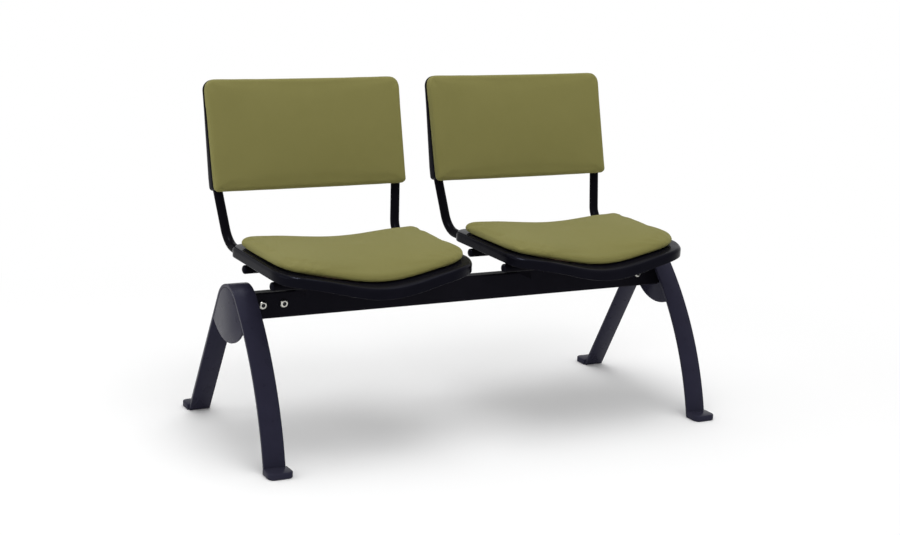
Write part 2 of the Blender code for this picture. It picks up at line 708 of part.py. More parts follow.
def make_seat_pad(name, seat):
    """The upholstered pad: crowned, tucked under at its sides and hollowed below for the board."""
    under = SEAT_FIT + SEAT_BOARD_THICKNESS + SEAT_FIT
    recess = SEAT_BOARD_INSET - SEAT_FIT
    rings = [seat_ring(recess, under, share) for share in SEAT_RING_SHARES]
    rings.append(seat_ring(recess, SEAT_FIT))
    sides = ((SEAT_PAD_TUCK, SEAT_FIT), (0.0, SEAT_PAD_SIDE),
             (SEAT_PAD_ROUND * 0.3, SEAT_PAD_SHOULDER * 0.82), (SEAT_PAD_ROUND, SEAT_PAD_SHOULDER))
    for inward, rise in sides:
        rings.append(seat_ring(SEAT_PAD_INSET + inward, rise, reach=SEAT_PAD_SIDE_REACH))
    crown = SEAT_PAD_CROWN - SEAT_PAD_SHOULDER
    for share in SEAT_RING_SHARES[-2::-1]:
        rings.append(seat_ring(SEAT_BOARD_INSET, SEAT_PAD_SHOULDER + crown * (1.0 - share ** 4), share))
    loft(f"{name}_seat_pad", rings, FABRIC, seat, first=seat_tip(under), last=seat_tip(SEAT_PAD_CROWN))


def back_hollow(x):
    """How far the backrest lies behind its side edges: it curves round the sitter."""
    return BACK_HOLLOW * (1 - (2 * x / BACK_WIDTH) ** 2)


def back_plan(inset):
    """The backrest's front view, set in, as (x, z) points from the bottom middle round to the right."""
    half = BACK_WIDTH / 2 - inset
    top = BACK_HEIGHT - inset
    low = max(BACK_BOTTOM_CORNER - inset, BACK_PAD_TUCK)
    high = max(BACK_TOP_CORNER - inset, BACK_PAD_TUCK)
    right = [(half * share - low * share, inset) for share in BACK_EDGE_SHARES]
    right += arc((half - low, inset + low), low, -math.pi / 2, 0.0, 3)
    right += [(half, inset + low + (top - high - inset - low) * k / 3) for k in (1, 2)]
    right += arc((half - high, top - high), high, 0.0, math.pi / 2, 3)
    right += [(half * share - high * share, top) for share in BACK_EDGE_SHARES[::-1]]
    slope = BACK_TAPER / (BACK_WIDTH / 2)
    right = [(x * (1 - slope * (1 - z / BACK_HEIGHT)), z) for x, z in right]
    return right + [(-x, z) for x, z in right[-2:0:-1]]


def back_ring(inset, behind, share=1.0, lift=0.0):
    """A ring on the backrest, drawn towards its middle; behind gives its depth from (x, z).

    With a lift its lower edge lies that much higher."""
    middle = BACK_HEIGHT / 2
    plan = [(x, z + lift * (1 - z / BACK_HEIGHT)) for x, z in back_plan(inset)]
    plan = [(x * share, middle + (z - middle) * share) for x, z in plan]
    return [(x, back_hollow(x) + behind(x, z), z) for x, z in plan]


def back_tip(behind):
    z = BACK_HEIGHT / 2
    return 0.0, back_hollow(0.0) + behind(0.0, z), z


def shell_depth(z):
    """Depth of the shell behind the board: full over the sleeved uprights, tapering to the top."""
    share = (z - UPRIGHT_GRIP) / (BACK_HEIGHT - UPRIGHT_GRIP)
    return SHELL_BOTTOM_DEPTH + (SHELL_TOP_DEPTH - SHELL_BOTTOM_DEPTH) * min(max(share, 0.0), 1.0)


def shell_edge(z):
    """Depth that the shell's rounded edge takes up, less where the shell is thin."""
    return min(SHELL_EDGE, shell_depth(z) * 0.6)


def tube_behind():
    """Distance of the uprights' centre line behind the shell's front rim, clear of the curved board."""
    inner = back_hollow(upright_point(1, BACK_RISE)[0] - TUBE_RADIUS / 2)
    return inner + TUBE_RADIUS + SEAT_FIT


def make_back_shell(name, back, rooms):
    """The moulded shell, open to the front, with bosses for its screws and holes for the uprights."""
    rings = [back_ring(0.0, lambda x, z: 0.0, lift=SHELL_LIFT)]
    for turn in (0.0, math.pi / 6, math.pi / 3, math.pi / 2):
        inset = SHELL_EDGE * (1 - math.cos(turn))
        short = 1 - math.sin(turn)
        rings.append(back_ring(inset, lambda x, z: shell_depth(z) - shell_edge(z) * short, lift=SHELL_LIFT))
    for share in BACK_RING_SHARES[::-1]:
        rings.append(back_ring(BACK_BOARD_INSET, lambda x, z: shell_depth(z), share))
    shell = loft(f"{name}_back_shell", rings, PLASTIC, back, last=back_tip(lambda x, z: shell_depth(z)),
                 across=1)
    thicken(shell, SHELL_WALL, -1.0)
    rim = back_hollow(SCREW_X)
    seat_y = rim + shell_depth(SCREW_UP) - BOSS_RECESS
    places = [(-SCREW_X, SCREW_UP), (SCREW_X, SCREW_UP)]
    length = seat_y - rim - 2 * GAP
    bosses = rods(f"{name}_bosses", BOSS_RADIUS, length, [(x, seat_y - length / 2, z) for x, z in places],
                  None, back, FORWARD)
    boolean(shell, bosses, "UNION")
    for room in rooms:
        boolean(shell, room, "DIFFERENCE")
    shanks = [(x, seat_y, z) for x, z in places]
    boolean(shell, rods(f"{name}_screw_room", SCREW_RADIUS + GAP, 1.0, shanks, None, back, FORWARD, 10),
            "DIFFERENCE")
    heads = [(x, seat_y + SHELL_BOTTOM_DEPTH / 2, z) for x, z in places]
    boolean(shell, rods(f"{name}_head_room", SCREW_HEAD_RADIUS + GAP, SHELL_BOTTOM_DEPTH, heads, None, back,
                        FORWARD, 12), "DIFFERENCE")
    grip = seat_y + GAP - rim + SCREW_BITE
    profile = button_head(SCREW_HEAD_RADIUS, SCREW_HEAD_HEIGHT, SCREW_RADIUS, grip)
    for (x, z), side_name in zip(places, ("left", "right")):
        turned(f"{name}_back_{side_name}_screw", profile, ZINC, back, (x, seat_y + GAP, z), BACKWARD, 10)


def make_back_board(name, back):
    """The plywood board in the back of the pad, with holes for the shell's screws."""
    front = -GAP - BACK_BOARD_THICKNESS
    rings = [back_ring(BACK_BOARD_INSET, lambda x, z: front, share) for share in BACK_RING_SHARES]
    rings += [back_ring(BACK_BOARD_INSET, lambda x, z: -GAP, share) for share in BACK_RING_SHARES[::-1]]
    board = loft(f"{name}_back_board", rings, PLYWOOD, back, first=back_tip(lambda x, z: front),
                 last=back_tip(lambda x, z: -GAP), across=1)
    depth = 2 * (SCREW_BITE + SEAT_FIT)
    holes = [(x, back_hollow(x) - GAP, SCREW_UP) for x in (-SCREW_X, SCREW_X)]
    boolean(board, rods(f"{name}_board_holes", SCREW_RADIUS + GAP, depth, holes, None, back, FORWARD, 10),
            "DIFFERENCE")


def make_back_pad(name, back):
    """The upholstered pad in front of the board: rounded at its edges, slightly crowned."""
    front = -BACK_PAD_THICKNESS
    recess = BACK_BOARD_INSET - SEAT_FIT
    floor = -GAP - BACK_BOARD_THICKNESS - SEAT_FIT
    rings = [back_ring(recess, lambda x, z: floor, share) for share in BACK_RING_SHARES]
    rings.append(back_ring(recess, lambda x, z: -GAP))
    rings.append(back_ring(BACK_PAD_TUCK, lambda x, z: -GAP))
    rings.append(back_ring(0.0, lambda x, z: -BACK_PAD_TUCK))
    rings.append(back_ring(0.0, lambda x, z: front + BACK_PAD_EDGE))
    rings.append(back_ring(BACK_PAD_EDGE * 0.3, lambda x, z: front + BACK_PAD_EDGE * 0.3))
    rings.append(back_ring(BACK_PAD_EDGE, lambda x, z: front))
    for share in BACK_RING_SHARES[-2::-1]:
        rings.append(back_ring(recess, lambda x, z: front - BACK_PAD_CROWN * (1 - share ** 2), share))
    loft(f"{name}_back_pad", rings, FABRIC, back, first=back_tip(lambda x, z: floor),
         last=back_tip(lambda x, z: front - BACK_PAD_CROWN), across=1)


def make_seat(name, x, bench):
    """One seat with its frame, brackets, pan, pad and backrest."""
    seat = empty(f"{name}_seat", (x, 0.0, 0.0), parent=bench)
    rooms = make_seat_frame(name, seat)
    make_brackets(name, seat)
    make_seat_pan(name, seat, rooms)
    make_seat_board(name, seat)
    make_seat_pad(name, seat)
    _, y, z = upright_point(1, BACK_RISE)
    forward = tube_behind()
    foot = (0.0, y - forward * math.cos(BACK_LEAN), z + forward * math.sin(BACK_LEAN))
    back = empty(f"{name}_backrest", foot, (-BACK_LEAN, 0.0, 0.0), seat)
    make_back_shell(name, back, rooms)
    make_back_board(name, back)
    make_back_pad(name, back)


def stand_on_origin(bench):
    """Moves the bench so that the middle of its depth lies on the origin."""
    bpy.context.view_layer.update()
    graph = bpy.context.evaluated_depsgraph_get()
    depths = []
    for obj in PARTS.objects:
        if obj.type == "EMPTY":
            continue
        solid = obj.evaluated_get(graph)
        mesh = solid.to_mesh()
        depths += [(solid.matrix_world @ Vector(vertex.co)).y for vertex in mesh.vertices]
        solid.to_mesh_clear()
    bench.location.y = -(min(depths) + max(depths)) / 2
    print("bench moved along Y by", round(bench.location.y, 5))


def main():
    bench = empty("bench", (0.0, 0.0, 0.0))
    spigots = {side: make_leg(side, name, bench) for side, name in ((-1, "left"), (1, "right"))}
    make_feet(-1, "left", bench)
    make_feet(1, "right", bench)
    seats = (("left", -SEAT_PITCH / 2), ("right", SEAT_PITCH / 2))
    beam = make_beam(bench, [x + side * BRACKET_X for _, x in seats for side in (-1, 1)])
    make_beam_bolts(bench, beam, spigots)
    for name, x in seats:
        make_seat(name, x, bench)
    stand_on_origin(bench)


main()
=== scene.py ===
# %% [markdown]
# # A two-seat beam bench, dressed for its portrait
#
# The bench comes from the CAD model as bare solids in metres: X runs along the beam, the sitters face -Y and
# Z rises from the floor. This lesson gives those solids their finishes and puts finer pieces in the place of
# the ones whose facets would show. Nothing is moved: each piece is measured from the frame it stands in.

# %% Load the frame
import math

import bmesh
import bpy
from mathutils import Matrix, Vector


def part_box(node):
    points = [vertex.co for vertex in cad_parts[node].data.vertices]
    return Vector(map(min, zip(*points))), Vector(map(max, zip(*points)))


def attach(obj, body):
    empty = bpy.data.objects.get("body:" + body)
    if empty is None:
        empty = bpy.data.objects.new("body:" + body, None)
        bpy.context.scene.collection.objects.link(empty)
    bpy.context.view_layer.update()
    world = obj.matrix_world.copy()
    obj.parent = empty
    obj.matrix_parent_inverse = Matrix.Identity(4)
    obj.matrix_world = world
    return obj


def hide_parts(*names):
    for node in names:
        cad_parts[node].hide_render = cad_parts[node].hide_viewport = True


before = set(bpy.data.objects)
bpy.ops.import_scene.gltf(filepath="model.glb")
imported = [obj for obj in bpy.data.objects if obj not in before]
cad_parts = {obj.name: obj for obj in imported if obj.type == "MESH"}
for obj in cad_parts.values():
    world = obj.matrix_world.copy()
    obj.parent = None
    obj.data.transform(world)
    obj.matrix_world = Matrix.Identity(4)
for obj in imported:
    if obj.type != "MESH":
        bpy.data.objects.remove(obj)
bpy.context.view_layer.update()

# %% [markdown]
# ## Where things are
#
# Seats and legs are placed from the beam, so the beam's middle is the one line that the whole bench shares.
# Each seat is then drawn once, about its own middle, and set down twice: a shape that repeats should exist
# once, so that a change to it can't be forgotten on the second copy.

# %% Measure the frame
ENDS = ("left", "right")


def middle(node):
    low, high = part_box(node)
    return (low + high) / 2


beam_middle = middle("beam")
seat_place = {end: Matrix.Translation((middle(f"{end}_seat_pan").x, beam_middle.y, 0.0)) for end in ENDS}
print("seats at x", [round(seat_place[end].translation.x, 4) for end in ENDS])
print("beam at y", round(beam_middle.y, 4))

# %% [markdown]
# ## The camera
#
# The photograph was taken from the left, a little above the seats, with a longish lens and a slight tilt. A
# camera object looks along its own -Z, so its rotation is a matrix whose columns are the picture's right, the
# picture's up and the way back to the viewer. Writing the three axes down keeps the small roll, which a
# "track to" constraint would lose.

# %% Set up the camera
CAMERA_PLACE = Vector((-1.9234, -3.3998, 1.3007))
CAMERA_AZIMUTH = math.radians(-29.315)
CAMERA_ELEVATION = math.radians(13.642)
CAMERA_ROLL = math.radians(3.059)
SENSOR_WIDTH = 36.0
LENS = 68.25

level = math.cos(CAMERA_ELEVATION)
away = Vector((math.sin(CAMERA_AZIMUTH) * level, -math.cos(CAMERA_AZIMUTH) * level,
               math.sin(CAMERA_ELEVATION)))
plain_right = Vector((math.cos(CAMERA_AZIMUTH), math.sin(CAMERA_AZIMUTH), 0.0))
plain_up = away.cross(plain_right)
right = plain_right * math.cos(CAMERA_ROLL) + plain_up * math.sin(CAMERA_ROLL)
up = plain_up * math.cos(CAMERA_ROLL) - plain_right * math.sin(CAMERA_ROLL)


def linked(name, data):
    """A new object in the scene."""
    obj = bpy.data.objects.new(name, data)
    bpy.context.scene.collection.objects.link(obj)
    return obj


lens = bpy.data.cameras.new("portrait")
lens.sensor_fit = "HORIZONTAL"
lens.sensor_width = SENSOR_WIDTH
lens.lens = LENS
camera = linked("portrait", lens)
camera.matrix_world = Matrix.Translation(CAMERA_PLACE) @ Matrix((right, up, away)).transposed().to_4x4()
bpy.context.scene.camera = camera
print("camera", round((CAMERA_PLACE - beam_middle).length, 2), "m from the beam")

# %% [markdown]
# ## Shader maths as Python
#
# A material is a graph of nodes, and wiring a graph by hand hides the formula in it. Here a small class holds
# one socket, and its operators add Math nodes, so `1 - mask * 0.5` reads as what it means. Every other node
# comes from one method of a second class, which sets the node's settings first, because some settings change
# its sockets.

# %% Sockets that do arithmetic
class Amount:
    """A number that varies over a surface: arithmetic on it adds Math nodes."""

    def __init__(self, graph, socket):
        self.graph = graph
        self.socket = socket

    def maths(self, operation, *values):
        return self.graph.node("ShaderNodeMath", {"operation": operation}, dict(enumerate(values)))

    def __add__(self, other):
        return self.maths("ADD", self, other)

    def __sub__(self, other):
        return self.maths("SUBTRACT", self, other)

    def __rsub__(self, other):
        return self.maths("SUBTRACT", other, self)

    def __mul__(self, other):
        return self.maths("MULTIPLY", self, other)

    def __gt__(self, other):
        return self.maths("GREATER_THAN", self, other)

    def __abs__(self):
        return self.maths("ABSOLUTE", self)

    __radd__ = __add__
    __rmul__ = __mul__

    def sine(self):
        return self.maths("SINE", self)


print("sockets can be added, subtracted, multiplied and compared")


# %% Graphs that make their nodes on request
class Graph:
    """The nodes of a material or of the world."""

    def __init__(self, tree):
        self.nodes = tree.nodes
        self.links = tree.links

    def node(self, kind, settings, inputs, output=0):
        made = self.nodes.new(kind)
        for setting, value in settings.items():
            setattr(made, setting, value)
        for socket, value in inputs.items():
            self.feed(made.inputs[socket], value)
        return Amount(self, made.outputs[output])

    def feed(self, socket, value):
        if isinstance(value, Amount):
            self.links.new(value.socket, socket)
        else:
            socket.default_value = value


print("a graph makes a node from its type, its settings and its inputs")


# %% Finishes
class Finish(Graph):
    """A material under the name of the record's slot; the constants go straight to the shader's sockets."""

    def __init__(self, name, **constants):
        self.name = name
        self.material = bpy.data.materials.new(name)
        self.material.use_nodes = True
        super().__init__(self.material.node_tree)
        self.shader = self.nodes["Principled BSDF"]
        for socket, value in constants.items():
            self.shader.inputs[socket.replace("_", " ")].default_value = value

    def set(self, socket, value):
        self.feed(self.shader.inputs[socket], value)

    def place(self):
        """The point on the piece, in its own metres."""
        return self.node("ShaderNodeTexCoord", {}, {}, "Object")

    def noise(self, scale, detail=2.0, roughness=0.5):
        inputs = {"Vector": self.place(), "Scale": scale, "Detail": detail, "Roughness": roughness}
        return self.node("ShaderNodeTexNoise", {}, inputs, "Fac")

    def mix(self, factor, first, second):
        """From the first colour to the second."""
        return self.node("ShaderNodeMix", {"data_type": "RGBA"}, {0: factor, 6: first, 7: second}, 2)

    def bump(self, height, depth, strength=1.0):
        """Tilts the surface by a height of 0 to 1, where 1 stands depth metres proud."""
        inputs = {"Height": height, "Distance": depth, "Strength": strength}
        self.set("Normal", self.node("ShaderNodeBump", {}, inputs))


def screen(red, green, blue):
    """A colour as a screen shows it, 0 to 255, in the linear values that shaders take."""
    shares = [channel / 255 for channel in (red, green, blue)]
    return [s / 12.92 if s <= 0.04045 else ((s + 0.055) / 1.055) ** 2.4 for s in shares] + [1.0]


print("white is", screen(255, 255, 255))

# %% [markdown]
# ## Powder coat
#
# Legs, beam and tubes are steel under one black powder coat. The powder is blown on dry and melts into a skin
# with a faint orange peel, so it is not quite flat and not quite even in gloss. Two noises do it: a coarse
# one for the gloss, and a fine one, far less than a millimetre high, as a bump. The coat is made in three
# copies that differ only in a few numbers, so one function makes them all. The tubes and the beam, mostly in
# shade under the seats, get darker blacks as painted shade. The legs get a lighter, bluer black with more
# reflection as painted light.

# %% Make the powder coats
CLOUD_SCALE = 35.0
GLOSS_SPREAD = 0.14
PEEL_SCALE = 700.0
PEEL_DEPTH = 0.00006


def coat(specular, tint, dark, light, gloss):
    """A powder coat between two blacks; specular and tint set how it mirrors, gloss its least roughness."""
    made = Finish("black_powder_coat", Specular_IOR_Level=specular, Specular_Tint=tint)
    cloud = made.noise(CLOUD_SCALE, 4.0)
    made.set("Base Color", made.mix(cloud, screen(*dark), screen(*light)))
    made.set("Roughness", gloss + cloud * GLOSS_SPREAD)
    made.bump(made.noise(PEEL_SCALE, 3.0), PEEL_DEPTH)
    print("finish", made.material.name, len(made.nodes), "nodes")
    return made


# Painted shade and light: the same coat is darker on the tubes and the beam, and lighter and bluer with more
# reflection on the legs.
shaded_tube_coat = coat(0.012, (0.80, 0.84, 1.0, 1.0), (10, 9, 13), (15, 14, 19), 0.28)
shaded_beam_coat = coat(0.015, (0.80, 0.84, 1.0, 1.0), (18, 17, 22), (23, 22, 28), 0.28)
lit_leg_coat = coat(0.10, (0.42, 0.45, 0.62, 1.0), (34, 33, 46), (41, 40, 55), 0.22)

# %% [markdown]
# ## Moulded plastic
#
# Seat pans, back shells, feet and end plugs are black mouldings. The mould is etched, which leaves a fine
# leathery grain of cells a millimetre across. A Voronoi texture is made of cells, so it gives that grain
# directly; a noise breaks up its gloss where hands polish it. The feet are of a lighter plastic.

# %% Make the moulded plastic
WORN_SCALE = 24.0
GRAIN_SCALE = 900.0
GRAIN_DEPTH = 0.00002


def moulded(dark, light):
    """A moulded plastic between two blacks."""
    made = Finish("black_moulded_plastic", Specular_IOR_Level=0.03, Specular_Tint=(0.62, 0.68, 1.0, 1.0))
    worn = made.noise(WORN_SCALE, 3.0)
    grain = made.node("ShaderNodeTexVoronoi", {}, {"Vector": made.place(), "Scale": GRAIN_SCALE}, "Distance")
    made.set("Base Color", made.mix(worn, screen(*dark), screen(*light)))
    made.set("Roughness", 0.14 + worn * 0.10)
    made.bump(grain, GRAIN_DEPTH)
    print("finish", made.material.name, len(made.nodes), "nodes")
    return made


moulding = moulded((11, 11, 16), (18, 17, 24))
foot_moulding = moulded((40, 40, 52), (48, 47, 61))

# %% [markdown]
# ## Olive upholstery
#
# The cover is a plain weave: each thread passes over one and under the next. A photograph of cloth would need
# unwrapped seams, but the pads are remeshed and have none, so the weave is worked out from the place of each
# point. Two sine waves give the rounded threads, their product tells which thread lies on top, and the same
# weave is drawn on three planes and mixed by the way the surface faces.

# %% Make the upholstery
THREAD = 0.0011
THREAD_DEPTH = 0.00022
DYE_SCALE = 9.0
LINT_SCALE = 420.0

upholstery = Finish("olive_upholstery", Specular_IOR_Level=0.15, Sheen_Weight=0.12, Sheen_Roughness=0.5,
                    Sheen_Tint=(0.75, 0.78, 0.45, 1.0))
spot = upholstery.place()
across, along, upward = (upholstery.node("ShaderNodeSeparateXYZ", {}, {0: spot}, axis) for axis in "XYZ")
facing = upholstery.node("ShaderNodeTexCoord", {}, {}, "Normal")
faces = [upholstery.node("ShaderNodeSeparateXYZ", {}, {0: facing}, axis) for axis in "XYZ"]


def weave(first, second):
    """Height of a plain weave with threads along both directions."""
    warp = (first * (math.pi / THREAD)).sine()
    weft = (second * (math.pi / THREAD)).sine()
    over = (warp * weft) > 0.0
    return abs(warp) * over + abs(weft) * (1 - over)


cloth_height = (weave(along, upward) * (faces[0] * faces[0]) + weave(across, upward) * (faces[1] * faces[1])
                + weave(across, along) * (faces[2] * faces[2]))
dye = upholstery.noise(DYE_SCALE, 3.0)
lint = upholstery.noise(LINT_SCALE, 2.0)
thread_colour = upholstery.mix(dye, screen(125, 121, 68), screen(133, 129, 76))
# The darker colour between the threads is painted shade in the gaps of the weave; the dye and lint noises are
# the cloth's own tone.
gap_shade_colour = upholstery.mix(dye, screen(101, 97, 50), screen(109, 104, 56))
upholstery.set("Base Color", upholstery.mix(cloth_height * 0.8 + lint * 0.3, gap_shade_colour, thread_colour))
upholstery.set("Roughness", 0.95 - cloth_height * 0.15)
upholstery.bump(cloth_height + lint * 0.4, THREAD_DEPTH, 0.8)
print("finish", upholstery.name, len(upholstery.nodes), "nodes")

# %% [markdown]
# ## Zinc and plywood
#
# Bolts, nuts and screws are zinc plated: a metal, so its colour is all reflection, with a roughness that
# changes over a few millimetres from handling. The boards inside the pads are plywood. They hardly show, but
# a board seen from below should still have its long grain, which is a noise stretched along one axis.

# %% Make the zinc and the plywood
HANDLED_SCALE = 260.0
PLATING_SCALE = 1500.0
PLATING_DEPTH = 0.00004
FIBRE_STRETCH = (6.0, 90.0, 90.0)
FIBRE_DEPTH = 0.00015

zinc = Finish("bright_zinc", Metallic=1.0)
handled = zinc.noise(HANDLED_SCALE, 3.0)
zinc.set("Base Color", zinc.mix(handled, screen(176, 174, 166), screen(214, 213, 206)))
zinc.set("Roughness", 0.20 + handled * 0.18)
zinc.bump(zinc.noise(PLATING_SCALE), PLATING_DEPTH)

plywood = Finish("plywood", Roughness=0.7)
stretched = plywood.node("ShaderNodeMapping", {}, {"Vector": plywood.place(), "Scale": FIBRE_STRETCH})
fibre = plywood.node("ShaderNodeTexNoise", {}, {"Vector": stretched, "Scale": 2.0, "Detail": 4.0}, "Fac")
plywood.set("Base Color", plywood.mix(fibre, screen(166, 128, 84), screen(212, 180, 136)))
plywood.bump(fibre, FIBRE_DEPTH)
print("finishes", zinc.name, plywood.name)

# %% [markdown]
# ## Setting pieces down
#
# Modifiers are the quickest way to round an edge or thicken a sheet, but a boolean needs a second object that
# must not stay in the scene. So a shape goes through its modifiers on a work object that is thrown away, and
# only the finished mesh is kept. One function then sets a piece down: it rides on the bench, stands for its
# CAD nodes, which are hidden, and takes its finish's material.

# %% Run a mesh through modifiers
def shaped(data, *steps):
    """The mesh that comes out of these modifiers, each one a type and its settings."""
    work = linked("work", data)
    for kind, settings in steps:
        modifier = work.modifiers.new(kind.lower(), kind)
        for setting, value in settings.items():
            setattr(modifier, setting, value)
    graph = bpy.context.evaluated_depsgraph_get()
    mesh = bpy.data.meshes.new_from_object(work.evaluated_get(graph))
    mesh.name = data.name
    bpy.data.objects.remove(work, do_unlink=True)
    return mesh


def combined(mesh, tool, operation="DIFFERENCE"):
    """The mesh after a boolean with the tool's mesh."""
    other = linked("tool", tool)
    result = shaped(mesh, ("BOOLEAN", {"operation": operation, "solver": "EXACT", "object": other}))
    bpy.data.objects.remove(other, do_unlink=True)
    return result


def round_edges(width, segments=3, angle=40.0):
    """The settings of a bevel on every edge sharper than the angle."""
    return "BEVEL", {"width": width, "segments": segments, "limit_method": "ANGLE",
                     "angle_limit": math.radians(angle)}


def walled(thickness, even=True):
    """The settings that give a skin a wall on its inner side."""
    return "SOLIDIFY", {"thickness": thickness, "offset": -1.0, "use_even_offset": even}


print("meshes can be rounded, thickened and cut")


# %% Set a piece down
def mesh_of(name, bm, outward=True):
    """The mesh of a bmesh, its faces turned outwards where it is closed."""
    if outward:
        bmesh.ops.recalc_face_normals(bm, faces=bm.faces)
    mesh = bpy.data.meshes.new(name)
    bm.to_mesh(mesh)
    bm.free()
    return mesh


def put(name, mesh, finish, nodes, where, crease=35.0):
    """Sets a piece down in the place of CAD nodes."""
    mesh.shade_smooth()
    mesh.set_sharp_from_angle(angle=math.radians(crease))
    mesh.materials.clear()
    mesh.materials.append(finish.material)
    obj = linked(name, mesh)
    obj.matrix_world = where
    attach(obj, "root")
    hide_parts(*nodes)
    return obj


print("ready to set pieces down")

# %% [markdown]
# ## Solids that stay
#
# Flat sheet metal, the straight beam and what hides under the seats are right as CAD solids. They only need
# their finish, which goes into the material slot of the node's object.

# %% Dress the CAD nodes that stay
STAYING = {
    shaded_beam_coat: ["beam"] + [f"{end}_beam_spigot" for end in ENDS]
    + [f"{end}_seat_{side}_bracket" for end in ENDS for side in ENDS],
    zinc: [f"{end}_seat_{side}_clamp_{kind}" for end in ENDS for side in ENDS for kind in ("bolt", "nut")],
    plywood: [f"{end}_{part}_board" for end in ENDS for part in ("seat", "back")],
}
for finish, names in STAYING.items():
    for name in names:
        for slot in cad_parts[name].material_slots:
            slot.material = finish.material
print("solids that stay:", sum(len(names) for names in STAYING.values()))

# %% [markdown]
# ## Legs
#
# Each leg is one flat steel strip: a bowed front leg, a tight bend over the beam and a straight rear leg.
# Seen from the side it is two parallel lines of arcs, so the mesh is those two lines, drawn at both edges of
# the strip and joined by four-sided faces. A bevel breaks the edges, as rolling does on a real strip.

# %% Draw the leg from the side
LEG_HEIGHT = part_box("left_leg_strip")[1].z
STRIP_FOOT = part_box("left_leg_strip")[0].z
LEG_TOP_RADIUS = 0.064
FRONT_START = math.radians(45.0)
FRONT_BOW_RADIUS = 0.700
REAR_LEAN = math.radians(28.0)


def arc(centre, radius, start, end, steps):
    """Points on an arc, both ends included."""
    turns = [start + (end - start) * step / steps for step in range(steps + 1)]
    return [(centre[0] + radius * math.cos(t), centre[1] + radius * math.sin(t)) for t in turns]


def leg_line(inset, foot=STRIP_FOOT):
    """The side view of the strip's face that lies inset inside its outer face, from front to rear foot."""
    top = LEG_HEIGHT - LEG_TOP_RADIUS
    reach = FRONT_BOW_RADIUS - LEG_TOP_RADIUS
    bow = (reach * math.cos(FRONT_START), top - reach * math.sin(FRONT_START))
    radius = FRONT_BOW_RADIUS - inset
    floor_turn = math.asin((foot - bow[1]) / radius)
    points = arc(bow, radius, math.pi - floor_turn, math.pi - FRONT_START, 40)
    points += arc((0.0, top), LEG_TOP_RADIUS - inset, math.pi - FRONT_START, REAR_LEAN, 40)[1:]
    y, z = points[-1]
    return points + [(y + (z - foot) * math.tan(REAR_LEAN), foot)]


print("leg line of", len(leg_line(0.0)), "points")

# %% Bend the leg strips
STRIP_THICKNESS = 0.008
STRIP_EDGE = 0.0009
leg_place = {end: Matrix.Translation((middle(f"{end}_leg_strip").x, beam_middle.y, 0.0)) for end in ENDS}
strip_half = (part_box("left_leg_strip")[1].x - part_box("left_leg_strip")[0].x) / 2


def strip_mesh(name, slack, half, foot):
    """The bent strip, grown by slack on both faces."""
    bm = bmesh.new()
    lines = (leg_line(-slack, foot), leg_line(STRIP_THICKNESS + slack, foot))
    rows = [[bm.verts.new((x, y, z)) for y, z in line] for x in (-half, half) for line in lines]
    left_outer, left_inner, right_outer, right_inner = rows
    around = (left_outer, right_outer, right_inner, left_inner)
    for first, second in zip(around, around[1:] + around[:1]):
        for k in range(len(first) - 1):
            bm.faces.new((first[k], first[k + 1], second[k + 1], second[k]))
    for k in (0, -1):
        bm.faces.new((left_outer[k], right_outer[k], right_inner[k], left_inner[k]))
    return mesh_of(name, bm)


for end in ENDS:
    mesh = shaped(strip_mesh(f"{end}_strip", 0.0, strip_half, STRIP_FOOT), round_edges(STRIP_EDGE))
    put(f"{end}_bent_strip", mesh, lit_leg_coat, [f"{end}_leg_strip"], leg_place[end])
    print(end, "strip:", len(mesh.polygons), "faces")

# %% [markdown]
# ## Leg plates
#
# A plate closes the outer side of each leg under the bend: straight sides along the strip, a round lower
# edge. Its outline is the strip's inner line as far as it lies within a circle, closed by that circle.
# Working the outline out avoids a boolean and leaves one clean face to bevel.

# %% Work out the plate's outline
PLATE_RADIUS = 0.115
PLATE_DROP = 0.015
CLEAR = 0.0003
plate_centre = Vector((0.0, LEG_HEIGHT - PLATE_DROP))


def crossing(inside, outside):
    """The point where a line leaves the plate's circle, found by halving."""
    for _ in range(30):
        half_way = (inside + outside) / 2
        if (half_way - plate_centre).length < PLATE_RADIUS:
            inside = half_way
        else:
            outside = half_way
    return inside


def plate_outline():
    line = [Vector(point) for point in leg_line(STRIP_THICKNESS + CLEAR)]
    within = [k for k, point in enumerate(line) if (point - plate_centre).length < PLATE_RADIUS]
    front = crossing(line[within[0]], line[within[0] - 1])
    rear = crossing(line[within[-1]], line[within[-1] + 1])
    start, end = (math.atan2(*(point - plate_centre).yx) for point in (rear, front))
    curve = arc(plate_centre, PLATE_RADIUS, start, end - 2 * math.pi if end > start else end, 48)
    return [tuple(line[k]) for k in within] + curve


print("plate outline of", len(plate_outline()), "points")

# %% Cut the leg plates
PLATE_EDGE = 0.0008
plate_low, plate_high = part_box("left_leg_plate")
plate_half = (plate_high.x - plate_low.x) / 2


def slab(name, outline, thickness):
    """A flat outline, made thick along a vector."""
    bm = bmesh.new()
    face = bm.faces.new([bm.verts.new(point) for point in outline])
    raised = bmesh.ops.extrude_face_region(bm, geom=[face])
    moved = [item for item in raised["geom"] if isinstance(item, bmesh.types.BMVert)]
    bmesh.ops.translate(bm, verts=moved, vec=thickness)
    return mesh_of(name, bm)


for end in ENDS:
    outline = [(-plate_half, y, z) for y, z in plate_outline()]
    plate = slab(f"{end}_plate", outline, (2 * plate_half, 0.0, 0.0))
    mesh = shaped(plate, round_edges(PLATE_EDGE, 2, 50.0))
    where = Matrix.Translation((middle(f"{end}_leg_plate").x, beam_middle.y, 0.0))
    put(f"{end}_side_plate", mesh, lit_leg_coat, [f"{end}_leg_plate"], where)
    print(end, "plate:", len(mesh.polygons), "faces")

# %% [markdown]
# ## Feet
#
# A moulded foot stands in front of each front leg and behind each rear leg, with a rounded toe and softened
# top edges. The foot holds the end of the strip in a notch, so the strip, grown by a fit, is cut out of it.
# The bevel comes before the cut, because the notch's own edges stay sharp.

# %% Mould the feet
FOOT_CORNER = 0.014
FOOT_EDGE = 0.0026


